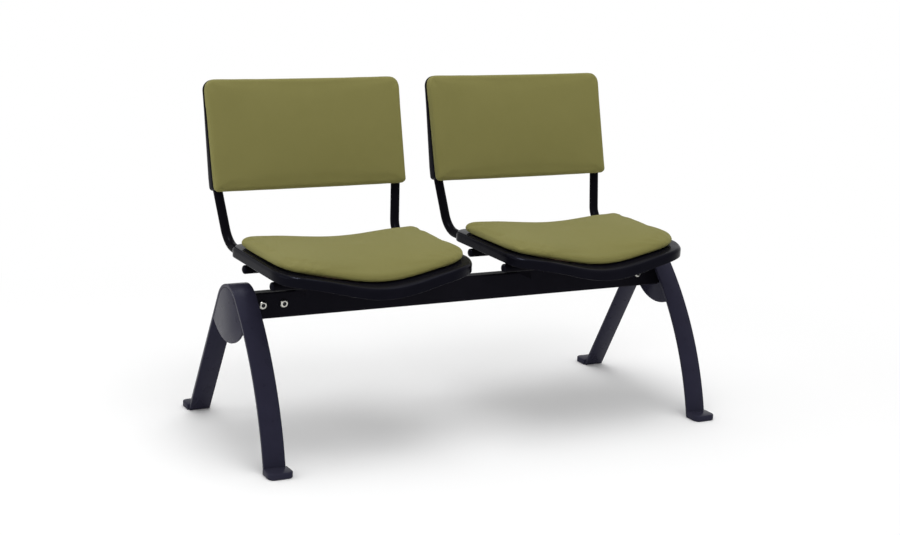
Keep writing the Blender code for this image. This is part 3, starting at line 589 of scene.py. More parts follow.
def foot_outline(width, length):
    """Plan of a foot, from its grip on the strip at y = 0 to its rounded toe."""
    half = width / 2
    inner, toe = half - FOOT_CORNER, length - FOOT_CORNER
    points = [(-half, 0.0), (half, 0.0)]
    points += arc((inner, toe), FOOT_CORNER, 0.0, math.pi / 2, 14)
    return points + arc((-inner, toe), FOOT_CORNER, math.pi / 2, math.pi, 14)


for end in ENDS:
    room = strip_mesh("strip_room", CLEAR, strip_half + CLEAR, -STRIP_THICKNESS)
    for side, way in (("front", -1), ("rear", 1)):
        low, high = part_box(f"{end}_{side}_foot")
        back_edge = (high.y if side == "front" else low.y) - beam_middle.y
        plan = foot_outline(high.x - low.x, high.y - low.y)
        outline = [(way * x, back_edge + way * y, 0.0) for x, y in plan]
        block = slab(f"{end}_{side}_foot_block", outline, (0.0, 0.0, high.z - low.z))
        mesh = combined(shaped(block, round_edges(FOOT_EDGE, 4, 50.0)), room)
        put(f"{end}_{side}_glide", mesh, foot_moulding, [f"{end}_{side}_foot"], leg_place[end])
    print(end, "feet of", len(mesh.polygons), "faces each")

# %% [markdown]
# ## Turned pieces
#
# Bolts, screws and end plugs are round, so each is half of its outline, spun about its axis by the Screw
# modifier. The beam bolts have a button head with a hexagon socket, which is a six-sided prism cut into the
# head. The head's rim catches the light as a bright ring, and the socket is darkened by painted shade: within
# the socket's radius the zinc's colour turns almost black.

# %% Turn a round piece
WELD = 0.00001


def turned(name, profile, steps=40):
    """A closed turned piece about Z; the profile is (radius, height) from the top down the outer side."""
    bm = bmesh.new()
    points = [bm.verts.new((radius, 0.0, height)) for radius, height in profile]
    for first, second in zip(points, points[1:]):
        bm.edges.new((first, second))
    line = mesh_of(name, bm, outward=False)
    spin = {"steps": steps, "render_steps": steps, "use_merge_vertices": True, "merge_threshold": WELD}
    mesh = shaped(line, ("SCREW", spin))
    bm = bmesh.new()
    bm.from_mesh(mesh)
    bmesh.ops.remove_doubles(bm, verts=bm.verts, dist=WELD)
    return mesh_of(name, bm)


def prism(name, radius, depth, sides, top):
    """A straight bar about Z that ends at the top, for cutting."""
    bm = bmesh.new()
    bmesh.ops.create_cone(bm, cap_ends=True, segments=sides, radius1=radius, radius2=radius, depth=depth,
                          matrix=Matrix.Translation((0.0, 0.0, top - depth / 2)))
    return mesh_of(name, bm)


BUTTON_FLAT = 0.56
BUTTON_RIM = 0.30
BUTTON_SEAT = 0.985


def button_head(radius, height, shank, length):
    """Half outline of a bolt with a domed head on height 0; flat, rim and seat are shares of the head."""
    crown = [(radius * (BUTTON_FLAT + (1 - BUTTON_FLAT) * math.sin(t)),
              height * (BUTTON_RIM + (1 - BUTTON_RIM) * math.cos(t)))
             for t in (0.0, 0.35, 0.7, 1.05, 1.35, math.pi / 2)]
    stem = [(radius * BUTTON_SEAT, 0.0), (shank, 0.0), (shank, -length), (0.0, -length)]
    return [(0.0, height)] + crown + stem


print("half outline of", len(button_head(1.0, 1.0, 0.5, 1.0)), "points")

# %% Make the bolts' zinc
SOCKET_RADIUS = 0.0050
SOCKET_SHADE = 0.96 * SOCKET_RADIUS

bolt_zinc = Finish("bright_zinc", Metallic=1.0, Roughness=0.28)
bolt_spot = bolt_zinc.place()
from_axis = [bolt_zinc.node("ShaderNodeSeparateXYZ", {}, {0: bolt_spot}, axis) for axis in "XY"]
# Painted shade: within the socket's radius the zinc's colour is almost black.
socket_painted_shade = 1 - ((from_axis[0] * from_axis[0] + from_axis[1] * from_axis[1]) > SOCKET_SHADE ** 2)
bolt_zinc.set("Base Color", bolt_zinc.mix(socket_painted_shade, screen(204, 203, 196), screen(38, 38, 41)))
bolt_zinc.bump(bolt_zinc.noise(PLATING_SCALE), PLATING_DEPTH)
print("finish", bolt_zinc.material.name, len(bolt_zinc.nodes), "nodes")

# %% Turn the beam bolts
BOLT_HEAD_RADIUS = 0.0095
BOLT_HEAD_HEIGHT = 0.0055
BOLT_SHANK = 0.005
BOLT_EDGE = 0.0003
SOCKET_DEPTH = 0.0038

bolt_low, bolt_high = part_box("left_outer_beam_bolt")
bolt_length = bolt_high.y - bolt_low.y - BOLT_HEAD_HEIGHT
bolt_outline = button_head(BOLT_HEAD_RADIUS, BOLT_HEAD_HEIGHT, BOLT_SHANK, bolt_length)
socket_tool = prism("socket", SOCKET_RADIUS, 2 * SOCKET_DEPTH, 6, BOLT_HEAD_HEIGHT + SOCKET_DEPTH)
bolt_mesh = combined(turned("socket_bolt", bolt_outline), socket_tool)
bolt_mesh = shaped(bolt_mesh, round_edges(BOLT_EDGE, 2, 50.0))
TOWARDS_FRONT = Matrix.Rotation(math.pi / 2, 4, "X")
for end in ENDS:
    for side in ("outer", "inner"):
        node = f"{end}_{side}_beam_bolt"
        low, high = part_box(node)
        seat_of_head = Vector((middle(node).x, low.y + BOLT_HEAD_HEIGHT, middle(node).z))
        put(f"{end}_{side}_socket_bolt", bolt_mesh, bolt_zinc, [node],
            Matrix.Translation(seat_of_head) @ TOWARDS_FRONT)
print("bolts of", len(bolt_mesh.polygons), "faces")

# %% [markdown]
# ## Seat tubes
#
# Under each seat two steel tubes run back along its sides, bend up behind it, lean outwards a little and
# carry the backrest. A curve with a round bevel follows such a path; the Solidify modifier gives the tube its
# wall, so the cut ends show a bore. The two cross tubes are the same thing on a straight path.

# %% Draw the tubes' path
BEND_RADIUS = 0.050
BEND_START = 0.157
SPLAY = math.radians(7.0)
BACK_LEAN = math.radians(16.6)
RAIL_X = 0.2135
RAIL_HEIGHT = 0.401
RAIL_FRONT = -0.130
BACK_RISE = 0.084
UPRIGHT_GRIP = 0.036


def splayed(side, y, height):
    """A point of a side tube: its bend lies in a plane that leans outwards about the rail."""
    return side * (RAIL_X + height * math.sin(SPLAY)), y, RAIL_HEIGHT + height * math.cos(SPLAY)


def upright_point(side, distance):
    """A point on the upright's centre line, at this distance above the bend."""
    turn = math.pi / 2 - BACK_LEAN
    y = BEND_START + BEND_RADIUS * math.sin(turn)
    height = BEND_RADIUS * (1 - math.cos(turn))
    return splayed(side, y + distance * math.sin(BACK_LEAN), height + distance * math.cos(BACK_LEAN))


def tube_path(side):
    bend = arc((BEND_START, BEND_RADIUS), BEND_RADIUS, -math.pi / 2, -BACK_LEAN, 28)
    return ([splayed(side, RAIL_FRONT, 0.0)] + [splayed(side, y, height) for y, height in bend]
            + [upright_point(side, BACK_RISE + UPRIGHT_GRIP)])


print("tube path of", len(tube_path(1)), "points")

# %% Bend the tubes
TUBE_WALL = 0.002
TUBE_RADIUS = 0.011


def round_curve(name, path, radius, capped):
    """A curve along the path with a round bevel."""
    curve = bpy.data.curves.new(name, "CURVE")
    curve.dimensions = "3D"
    curve.bevel_depth = radius
    curve.bevel_resolution = 8
    curve.use_fill_caps = capped
    spline = curve.splines.new("POLY")
    spline.points.add(len(path) - 1)
    for target, point in zip(spline.points, path):
        target.co = (*point, 1.0)
    return curve


def tube_mesh(name, path, radius):
    return shaped(round_curve(name, path, radius, False), walled(TUBE_WALL, False))


def bar_mesh(name, path, radius):
    """A solid bar along the path, its caps welded, for cutting."""
    bm = bmesh.new()
    bm.from_mesh(shaped(round_curve(name, path, radius, True)))
    bmesh.ops.remove_doubles(bm, verts=bm.verts, dist=WELD)
    return mesh_of(name, bm)


SIDES = (("left", -1), ("right", 1))
side_tubes = {name: tube_mesh(f"{name}_tube", tube_path(side), TUBE_RADIUS) for name, side in SIDES}
tube_rooms = [bar_mesh("tube_room", tube_path(side), TUBE_RADIUS + CLEAR) for _, side in SIDES]
for end in ENDS:
    for side, _ in SIDES:
        put(f"{end}_seat_{side}_bent_tube", side_tubes[side], shaded_tube_coat, [f"{end}_seat_{side}_side_tube"],
            seat_place[end])
print("bent tubes of", len(side_tubes["left"].polygons), "faces")

# %% Lay the cross tubes and plug them
CROSS_RADIUS = 0.010
PLUG_STEM = 0.012
cross_places = {}
for side in ("rear", "front"):
    low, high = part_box(f"left_seat_{side}_cross_tube")
    cross_places[side] = ((high.x - low.x) / 2, (low.y + high.y) / 2 - beam_middle.y, (low.z + high.z) / 2)
plug_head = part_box("left_seat_rear_left_plug")[1].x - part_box("left_seat_rear_left_plug")[0].x - PLUG_STEM
plug_dome = [(CROSS_RADIUS * math.sin(t), CLEAR + (plug_head - CLEAR) * math.cos(t))
             for t in (0.0, 0.3, 0.6, 0.9, 1.15, 1.35, math.pi / 2)]
stem_radius = CROSS_RADIUS - TUBE_WALL - CLEAR
plug_stem = [(stem_radius, CLEAR), (stem_radius, -PLUG_STEM), (0.0, -PLUG_STEM)]
plug_mesh = turned("end_plug", plug_dome + plug_stem, 32)
for side, (half, y, z) in cross_places.items():
    cross_mesh = tube_mesh(f"{side}_cross", [(-half, y, z), (half, y, z)], CROSS_RADIUS)
    for end in ENDS:
        put(f"{end}_seat_{side}_cross_bar", cross_mesh, shaded_tube_coat, [f"{end}_seat_{side}_cross_tube"],
            seat_place[end])
        for hand, sign in SIDES:
            turn = Matrix.Translation((sign * half, y, z)) @ Matrix.Rotation(sign * math.pi / 2, 4, "Y")
            put(f"{end}_seat_{side}_{hand}_end_plug", plug_mesh, moulding, [f"{end}_seat_{side}_{hand}_plug"],
                seat_place[end] @ turn)
print("cross tubes at y", [round(place[1], 4) for place in cross_places.values()])

# %% [markdown]
# ## Seat pan
#
# The pan is one moulding: a saddle that dips in the middle, most of all at the front, a rounded edge and a
# skirt that hides the frame. Its plan has straight sides, almost straight ends and round corners, the larger
# ones at the front. Rings of that plan, set in and raised, are joined to a skin, which Solidify thickens
# inwards; the tubes it rests on are then cut out of its underside.

# %% Shape the pan's saddle
PAN_HALF_WIDTH = 0.240
PAN_FRONT = -0.215
PAN_SIDE_TOP = 0.418
PAN_REAR_DIP = 0.010
PAN_FRONT_DIP = 0.038
PAN_DIP_SHARPNESS = 2.8
PAN_FALL_START = -0.020
PAN_FALL_SHARPNESS = 1.5
PAN_CORNER_FALL = 0.003
PAN_CORNER_FALL_START = -0.120
PAN_CORNER_FALL_RUN = 0.050


def pan_top(x, y):
    """Height of the pan's upper face: level sides, a dip in the middle, a falling front and front corners."""
    outward = (x / PAN_HALF_WIDTH) ** 2
    share = max(0.0, PAN_FALL_START - y) / (PAN_FALL_START - PAN_FRONT)
    dip = PAN_REAR_DIP + (PAN_FRONT_DIP - PAN_REAR_DIP) * share ** PAN_FALL_SHARPNESS
    turn = min(max((PAN_CORNER_FALL_START - y) / PAN_CORNER_FALL_RUN, 0.0), 1.0)
    fall = PAN_CORNER_FALL * turn * turn * (3 - 2 * turn)
    return PAN_SIDE_TOP - dip * max(0.0, 1 - outward) ** PAN_DIP_SHARPNESS - fall * outward


print("front heights", [round(pan_top(x, PAN_FRONT), 4) for x in (0.0, PAN_HALF_WIDTH)])

# %% Draw the pan's plan
PAN_REAR = 0.139
PAN_FRONT_RADIUS = 5.000
PAN_REAR_RADIUS = 6.000
PAN_CORNERS = (0.095, 0.042)


def seat_plan(inset, corners):
    """The outline, set in, as (x, y) points from the front middle; corners are the front and rear radius."""
    half = PAN_HALF_WIDTH
    front_round, rear_round = corners
    front_y = PAN_FRONT + PAN_FRONT_RADIUS
    front_gap = PAN_FRONT_RADIUS - front_round
    spread = math.asin((half - front_round) / front_gap)
    front_corner = (half - front_round, front_y - front_gap * math.cos(spread))
    rear_y = PAN_REAR - PAN_REAR_RADIUS
    rear_gap = PAN_REAR_RADIUS - rear_round
    fan = math.asin((half - rear_round) / rear_gap)
    rear_corner = (half - rear_round, rear_y + rear_gap * math.cos(fan))
    quarter = math.pi / 2
    points = arc((0.0, front_y), PAN_FRONT_RADIUS - inset, -quarter, spread - quarter, 24)
    points += arc(front_corner, front_round - inset, spread - quarter, 0.0, 18)[1:]
    start, end = front_corner[1], rear_corner[1]
    points += [(half - inset, start + (end - start) * k / 16) for k in range(1, 16)]
    points += arc(rear_corner, rear_round - inset, 0.0, quarter - fan, 12)
    points += arc((0.0, rear_y), PAN_REAR_RADIUS - inset, quarter - fan, quarter, 14)[1:]
    return points + [(-x, y) for x, y in points[-2:0:-1]]


print("plan of", len(seat_plan(0.0, PAN_CORNERS)), "points")

# %% Rings over the pan, and a skin from rings
PAD_CORNERS = (0.110, 0.052)


def seat_ring(inset, rise, share=1.0, reach=0.0, corners=PAD_CORNERS):
    """A ring over the pan: its outline set in, drawn towards the middle and raised; reach widens it."""
    centre = (PAN_FRONT + PAN_REAR) / 2
    wide = share * (1 + reach / PAN_HALF_WIDTH)
    plan = [(x * wide, centre + (y - centre) * share) for x, y in seat_plan(inset, corners)]
    return [(x, y, pan_top(x, y) + rise) for x, y in plan]


def seat_tip(rise):
    centre = (PAN_FRONT + PAN_REAR) / 2
    return 0.0, centre, pan_top(0.0, centre) + rise


def skin(name, rings, first=None, last=None, closed=False):
    """Rings of equal count joined by four-sided faces; first and last are points that close the ends."""
    bm = bmesh.new()
    rows = [[bm.verts.new(point) for point in ring] for ring in rings]
    count = len(rows[0])
    for near, far in zip(rows, rows[1:]):
        for k in range(count):
            following = (k + 1) % count
            bm.faces.new((near[k], far[k], far[following], near[following]))
    for row, point, order in ((rows[0], first, 1), (rows[-1], last, -1)):
        if point is None:
            continue
        tip = bm.verts.new(point)
        for k in range(count):
            corners = (tip, row[k], row[(k + 1) % count])
            bm.faces.new(corners[::order])
    return mesh_of(name, bm, outward=closed)


def quarter_turn(steps):
    """Angles from 0 to a right angle."""
    return [math.pi / 2 * step / steps for step in range(steps + 1)]


print("rings of", len(seat_ring(0.0, 0.0)), "points")

# %% Mould the pan
PAN_WALL = 0.0035
PAN_EDGE = 0.008
PAN_LIP = 0.0014
PAN_RIM_INSET = 0.034
SKIRT_DROPS = (0.013, 0.018, 0.023)
BOARD_INSET = 0.040

rings = [seat_ring(BOARD_INSET, 0.0, share) for share in (0.1, 0.25, 0.4, 0.55, 0.7, 0.85, 1.0)]
rings.append(seat_ring(PAN_RIM_INSET, 0.0))
for turn in quarter_turn(8):
    inset, drop = PAN_EDGE * (1 - math.sin(turn)), PAN_EDGE * (1 - math.cos(turn))
    rings.append(seat_ring(inset, -drop, corners=PAN_CORNERS))
rings += [seat_ring(0.0, -drop, corners=PAN_CORNERS) for drop in SKIRT_DROPS]
pan_skin = skin("pan", rings, first=seat_tip(0.0))
pan_mesh = shaped(pan_skin, walled(PAN_WALL), round_edges(PAN_LIP, 3, 60.0))
for room in tube_rooms:
    pan_mesh = combined(pan_mesh, room)
for end in ENDS:
    put(f"{end}_moulded_pan", pan_mesh, moulding, [f"{end}_seat_pan"], seat_place[end])
print("pans of", len(pan_mesh.polygons), "faces")

# %% [markdown]
# ## Padding by simulation
#
# A pad is foam under a stretched cover, held down along its lower edge. It could be modelled by hand, but a
# cloth simulation finds the swelling by itself: the closed form is remeshed to even faces, its underside is
# pinned and air pressure blows the rest up for a few frames. How far a point may move is capped, and a
# subdivision smooths the result, which stays as a plain mesh.

# %% Blow a mesh up
LAST_FRAME = 20
COVER = {
    "quality": 6, "mass": 0.25, "tension_stiffness": 20.0, "compression_stiffness": 20.0,
    "shear_stiffness": 8.0, "bending_stiffness": 2.0, "use_pressure": True, "uniform_pressure_force": 4.0,
}


def blown(mesh, held):
    """How far air pressure moves each point; held says of a point whether it is pinned."""
    pad = linked("blown", mesh)
    pins = pad.vertex_groups.new(name="held")
    pins.add([vertex.index for vertex in mesh.vertices if held(vertex.co)], 1.0, "REPLACE")
    cloth = pad.modifiers.new("cover", "CLOTH")
    for setting, value in COVER.items():
        setattr(cloth.settings, setting, value)
    cloth.settings.vertex_group_mass = pins.name
    cloth.settings.effector_weights.gravity = 0.0
    cloth.point_cache.frame_end = LAST_FRAME
    for number in range(1, LAST_FRAME + 1):
        bpy.context.scene.frame_set(number)
    result = pad.evaluated_get(bpy.context.evaluated_depsgraph_get()).to_mesh()
    moves = [after.co - before.co for after, before in zip(result.vertices, mesh.vertices)]
    bpy.context.scene.frame_set(1)
    bpy.data.objects.remove(pad, do_unlink=True)
    return moves


print("covers are simulated over", LAST_FRAME, "frames")

# %% Make a pad
VOXEL = 0.004


def swollen(name, form, held, cap):
    """The form blown up as a pad; held says of a point whether it is pinned, cap is the furthest move."""
    mesh = shaped(form, ("REMESH", {"mode": "VOXEL", "voxel_size": VOXEL, "use_smooth_shade": True}))
    moves = blown(mesh, held)
    for vertex, move in zip(mesh.vertices, moves):
        vertex.co += move * min(1.0, cap / max(move.length, 1e-9))
    print(name, "moved up to", round(max(move.length for move in moves) * 1000, 1), "mm before the cap")
    calm = ("SMOOTH", {"factor": 0.5, "iterations": 3})
    return shaped(mesh, calm, ("SUBSURF", {"levels": 1, "render_levels": 1}))


def box_text(thing):
    """The box of a CAD node or of a piece, in millimetres, for printing."""
    if isinstance(thing, str):
        low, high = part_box(thing)
    else:
        low, high = (thing.matrix_world @ Vector(thing.bound_box[corner]) for corner in (0, 6))
    return " ".join(f"{1000 * a:.1f}..{1000 * b:.1f}" for a, b in zip(low, high))


print("padding is", "simulated")

# %% [markdown]
# ## Seat pads
#
# The seat pad lies in the pan a finger's breadth inside its edge. Its cover is drawn in underneath, so a dark
# line runs round it above the pan, widest at the sides, where the lower edge lifts a little. The foam is
# crowned. The form that goes into the simulation is smaller than the pad, as it will swell.

# %% Draw the seat pad's form
SEAT_FIT = 0.0005
BOARD_THICKNESS = 0.006
SEAT_PAD_INSET = 0.028
SEAT_PAD_REACH = 0.017
SEAT_PAD_TUCK = 0.010
SEAT_PAD_SIDE = 0.012
SEAT_PAD_ROUND = 0.014
SEAT_PAD_SHOULDER = 0.0225
SEAT_PAD_CROWN = 0.0295
SEAT_PAD_FALL = 0.0015
SEAT_PAD_LIFT = 0.0022
SEAT_PAD_FLATNESS = 6


def seat_pad_ring(inward, rise, share=1.0):
    """A ring of the pad; towards the sides its top falls off and its lower edge lifts off the pan."""
    loft = max(0.0, rise - SEAT_PAD_SIDE) / (SEAT_PAD_CROWN - SEAT_PAD_SIDE)
    gap = max(0.0, SEAT_PAD_SIDE - rise) / (SEAT_PAD_SIDE - SEAT_FIT)
    ring = seat_ring(SEAT_PAD_INSET + inward, rise, share, SEAT_PAD_REACH)
    sides = [(x / PAN_HALF_WIDTH) ** 2 for x, y, z in ring]
    return [(x, y, z + SEAT_PAD_LIFT * gap * side - SEAT_PAD_FALL * loft * side * side)
            for (x, y, z), side in zip(ring, sides)]


under = SEAT_FIT + BOARD_THICKNESS + SEAT_FIT
recess = BOARD_INSET - SEAT_FIT
rings = [seat_ring(recess, under, share) for share in (0.35, 0.7, 1.0)]
rings.append(seat_ring(recess, SEAT_FIT))
for step in range(5):
    turn = math.pi / 2 * (step / 5 - 1)
    rings.append(seat_pad_ring(SEAT_PAD_TUCK * (1 - math.cos(turn)),
                               SEAT_FIT + (SEAT_PAD_SIDE - SEAT_FIT) * (1 + math.sin(turn))))
for turn in quarter_turn(7):
    rings.append(seat_pad_ring(SEAT_PAD_ROUND * (1 - math.cos(turn)),
                               SEAT_PAD_SIDE + (SEAT_PAD_SHOULDER - SEAT_PAD_SIDE) * math.sin(turn)))
crown = SEAT_PAD_CROWN - SEAT_PAD_SHOULDER
for share in (0.95, 0.88, 0.78, 0.65, 0.5, 0.3):
    rise = SEAT_PAD_SHOULDER + crown * (1 - share ** SEAT_PAD_FLATNESS)
    rings.append(seat_pad_ring(SEAT_PAD_ROUND, rise, share))
seat_form = skin("seat_form", rings, seat_tip(under), seat_tip(SEAT_PAD_CROWN), closed=True)
print("seat form of", len(rings), "rings")

# %% Blow up the seat pads
SEAT_PAD_MOVE = 0.003
PIN_MARGIN = 0.0015
PINNED_EDGE = 0.003


def seat_held(point):
    """Pinned are the underside, over the board as well, and the lowest line of the sides."""
    over_board = abs(point.x) < PAN_HALF_WIDTH - BOARD_INSET
    return point.z - pan_top(point.x, point.y) < (under + PIN_MARGIN if over_board else PINNED_EDGE)


seat_pad_mesh = swollen("seat pad", seat_form, seat_held, SEAT_PAD_MOVE)
for end in ENDS:
    pad = put(f"{end}_seat_cushion", seat_pad_mesh, upholstery, [f"{end}_seat_pad"],
              seat_place[end], crease=180.0)
print("seat pads of", len(seat_pad_mesh.polygons), "faces,", box_text(pad))
print("in place of", box_text(f"{end}_seat_pad"))

# %% [markdown]
# ## Backrest
#
# The backrest leans on the two uprights: a thin black shell behind, a padded front. It curves a little round
# the sitter and is thickest at the bottom, where the uprights enter. It is drawn upright in a frame of its
# own and leaned back by one matrix, so its shapes stay simple.

# %% Draw the backrest's front view
BACK_WIDTH = 0.498
BACK_HEIGHT = 0.259
BACK_TAPER = 0.004
BACK_HOLLOW = 0.012
BACK_TOP_CORNER = 0.026
BACK_BOTTOM_CORNER = 0.009
LEAST_CORNER = 0.002


def back_hollow(x):
    """How far the backrest lies behind its side edges: it curves round the sitter."""
    return BACK_HOLLOW * (1 - (2 * x / BACK_WIDTH) ** 2)


def back_plan(inset):
    """The front view, set in, as (x, z) points from the bottom middle round to the right."""
    half, top = BACK_WIDTH / 2 - inset, BACK_HEIGHT - inset
    low = max(BACK_BOTTOM_CORNER - inset, LEAST_CORNER)
    high = max(BACK_TOP_CORNER - inset, LEAST_CORNER)
    points = [((half - low) * k / 16, inset) for k in range(16)]
    points += arc((half - low, inset + low), low, -math.pi / 2, 0.0, 8)
    points += [(half, inset + low + (top - high - inset - low) * k / 10) for k in range(1, 10)]
    points += arc((half - high, top - high), high, 0.0, math.pi / 2, 12)
    points += [((half - high) * k / 16, top) for k in range(15, -1, -1)]
    slope = BACK_TAPER / (BACK_WIDTH / 2)
    points = [(x * (1 - slope * (1 - z / BACK_HEIGHT)), z) for x, z in points]
    return points + [(-x, z) for x, z in points[-2:0:-1]]


def back_ring(inset, behind, share=1.0, lift=0.0):
    """A ring drawn towards the middle; behind gives its depth from (x, z), lift raises its lower edge."""
    centre = BACK_HEIGHT / 2
    plan = [(x, z + lift * (1 - z / BACK_HEIGHT)) for x, z in back_plan(inset)]
    plan = [(x * share, centre + (z - centre) * share) for x, z in plan]
    return [(x, back_hollow(x) + behind(x, z), z) for x, z in plan]


def back_tip(behind):
    return 0.0, back_hollow(0.0) + behind(0.0, BACK_HEIGHT / 2), BACK_HEIGHT / 2


print("front view of", len(back_plan(0.0)), "points")

# %% Lean the backrest
upright_x, upright_y, upright_z = upright_point(1, BACK_RISE)
forward = back_hollow(upright_x - TUBE_RADIUS / 2) + TUBE_RADIUS + SEAT_FIT
back_foot = Vector((0.0, upright_y - forward * math.cos(BACK_LEAN),
                    upright_z + forward * math.sin(BACK_LEAN)))
leaned = Matrix.Translation(back_foot) @ Matrix.Rotation(-BACK_LEAN, 4, "X")
print("backrest stands at", [round(value, 4) for value in back_foot])

# %% Draw the back shell
SHELL_LIFT = 0.005
SHELL_BOTTOM_DEPTH = 0.0285
SHELL_TOP_DEPTH = 0.007
SHELL_EDGE = 0.008
SHELL_EDGE_SHARE = 0.6
BACK_BOARD_INSET = 0.014


def shell_depth(z):
    """Depth of the shell: full over the uprights, tapering to the top."""
    share = (z - UPRIGHT_GRIP) / (BACK_HEIGHT - UPRIGHT_GRIP)
    return SHELL_BOTTOM_DEPTH + (SHELL_TOP_DEPTH - SHELL_BOTTOM_DEPTH) * min(max(share, 0.0), 1.0)


def shell_edge(z):
    return min(SHELL_EDGE, shell_depth(z) * SHELL_EDGE_SHARE)


def shell_ring(turn):
    """A ring on the shell's rounded edge, from its side wall at 0 to its back face."""
    short = 1 - math.sin(turn)
    return back_ring(SHELL_EDGE * (1 - math.cos(turn)), lambda x, z: shell_depth(z) - shell_edge(z) * short,
                     lift=SHELL_LIFT)


rings = [back_ring(0.0, lambda x, z: 0.0, lift=SHELL_LIFT)]
rings += [shell_ring(turn) for turn in quarter_turn(8)]
for share in (1.0, 0.9, 0.75, 0.6, 0.45, 0.3, 0.15):
    rings.append(back_ring(BACK_BOARD_INSET, lambda x, z: shell_depth(z), share))
shell_skin = skin("shell", rings, last=back_tip(lambda x, z: shell_depth(z)))
print("shell skin of", len(rings), "rings")

# %% Mould the back shell
SHELL_WALL = 0.0025
SHELL_LIP = 0.0006
SCREW_X = 0.150
SCREW_UP = 0.130
SCREW_HEAD_RADIUS = 0.0042
BOSS_RADIUS = 0.008
BOSS_DEPTH = 0.012
BOSS_RECESS = 0.0035
HEAD_ROOM = 0.020

shell_mesh = shaped(shell_skin, walled(SHELL_WALL), round_edges(SHELL_LIP, 2, 60.0))
screw_seat = back_hollow(SCREW_X) + shell_depth(SCREW_UP) - BOSS_RECESS
TOWARDS_BACK = Matrix.Rotation(-math.pi / 2, 4, "X")
for _, side in SIDES:
    spot = Matrix.Translation((side * SCREW_X, screw_seat, SCREW_UP)) @ TOWARDS_BACK
    boss = prism("boss", BOSS_RADIUS, BOSS_DEPTH, 32, 0.0)
    room = prism("head_room", SCREW_HEAD_RADIUS + CLEAR, HEAD_ROOM, 32, HEAD_ROOM)
    for tool in (boss, room):
        tool.transform(spot)
    shell_mesh = combined(combined(shell_mesh, boss, "UNION"), room)
for room in tube_rooms:
    upright = room.copy()
    upright.transform(leaned.inverted())
    shell_mesh = combined(shell_mesh, upright)
shell_mesh.transform(leaned)
for end in ENDS:
    put(f"{end}_moulded_back", shell_mesh, moulding, [f"{end}_back_shell"], seat_place[end])
print("shells of", len(shell_mesh.polygons), "faces")

# %% Turn the back screws
SCREW_HEAD_HEIGHT = 0.0028
SCREW_SHANK = 0.002
SCREW_LENGTH = 0.016
SLOT_SIZE = (0.0046, 0.0010, 0.0030)

screw_outline = button_head(SCREW_HEAD_RADIUS, SCREW_HEAD_HEIGHT, SCREW_SHANK, SCREW_LENGTH)
screw_mesh = turned("cross_screw", screw_outline, 24)
for turn in (0.0, math.pi / 2):
    bm = bmesh.new()
    bmesh.ops.create_cube(bm, size=1.0, matrix=Matrix.Rotation(turn, 4, "Z")
                          @ Matrix.Translation((0.0, 0.0, SCREW_HEAD_HEIGHT))
                          @ Matrix.Diagonal((*SLOT_SIZE, 1.0)))
    screw_mesh = combined(screw_mesh, mesh_of("slot", bm))
for end in ENDS:
    for side, sign in SIDES:
        spot = Matrix.Translation((sign * SCREW_X, screw_seat + CLEAR, SCREW_UP)) @ TOWARDS_BACK
        put(f"{end}_back_{side}_cross_screw", screw_mesh, zinc, [f"{end}_back_{side}_screw"],
            seat_place[end] @ leaned @ spot)
print("screws of", len(screw_mesh.polygons), "faces")

# %% [markdown]
# ## Back pads
#
# The back pad is thinner and firmer than the seat's: its face is almost flat, with a tight round edge where
# the cover turns to the back. The same simulation blows it up, pinned along the back where it is stapled.

# %% Draw the back pad's form
BACK_PAD_THICKNESS = 0.0190
BACK_PAD_EDGE = 0.006
BACK_PAD_CROWN = 0.0020
BACK_BOARD_THICKNESS = 0.008

front = -BACK_PAD_THICKNESS
floor_depth = -CLEAR - BACK_BOARD_THICKNESS - SEAT_FIT
recess = BACK_BOARD_INSET - SEAT_FIT
rings = [back_ring(recess, lambda x, z: floor_depth, share) for share in (0.4, 0.75, 1.0)]
rings.append(back_ring(recess, lambda x, z: -CLEAR))
rings.append(back_ring(LEAST_CORNER, lambda x, z: -CLEAR))
rings.append(back_ring(0.0, lambda x, z: -LEAST_CORNER))
for turn in quarter_turn(7):
    depth = front + BACK_PAD_EDGE * (1 - math.sin(turn))
    rings.append(back_ring(BACK_PAD_EDGE * (1 - math.cos(turn)), lambda x, z: depth))
for share in (0.98, 0.92, 0.8, 0.65, 0.45, 0.25):
    rings.append(back_ring(recess, lambda x, z: front - BACK_PAD_CROWN * (1 - share ** 2), share))
back_form = skin("back_form", rings, back_tip(lambda x, z: floor_depth),
                 back_tip(lambda x, z: front - BACK_PAD_CROWN), closed=True)
print("back form of", len(rings), "rings")

# %% Blow up the back pads
BACK_PAD_MOVE = 0.0015
STAPLE_ROOM = 0.002


def back_held(point):
    """Pinned are the back, over the board as well, and the line where the sides begin."""
    inside = abs(point.x) < BACK_WIDTH / 2 - BACK_BOARD_INSET - STAPLE_ROOM
    return point.y > back_hollow(point.x) + (floor_depth if inside else -LEAST_CORNER) - PIN_MARGIN


back_pad_mesh = swollen("back pad", back_form, back_held, BACK_PAD_MOVE)
back_pad_mesh.transform(leaned)
for end in ENDS:
    pad = put(f"{end}_back_cushion", back_pad_mesh, upholstery, [f"{end}_back_pad"],
              seat_place[end], crease=180.0)
print("back pads of", len(back_pad_mesh.polygons), "faces,", box_text(pad))
print("in place of", box_text(f"{end}_back_pad"))

# %% [markdown]
# ## Floor and light
#
# The bench stands on a white studio floor under a large soft lamp, which leaves one soft shadow beneath it. A
# floor lit to white everywhere would need more light than the bench should get, so the floor stays a plain
# white paint near the bench and turns into plain white for the eye further out. The world is white to the eye
# and in reflections, and lights the bench at a lower level. A weaker lamp on the left brightens the sides
# that face it, and a small one shows only in reflections, as a glint on the black pieces.

# %% Lay the floor
WHITE = (1.0, 1.0, 1.0, 1.0)
FLOOR_HALF = 40.0
FADE_FROM = 0.8
FADE_OVER = 0.9


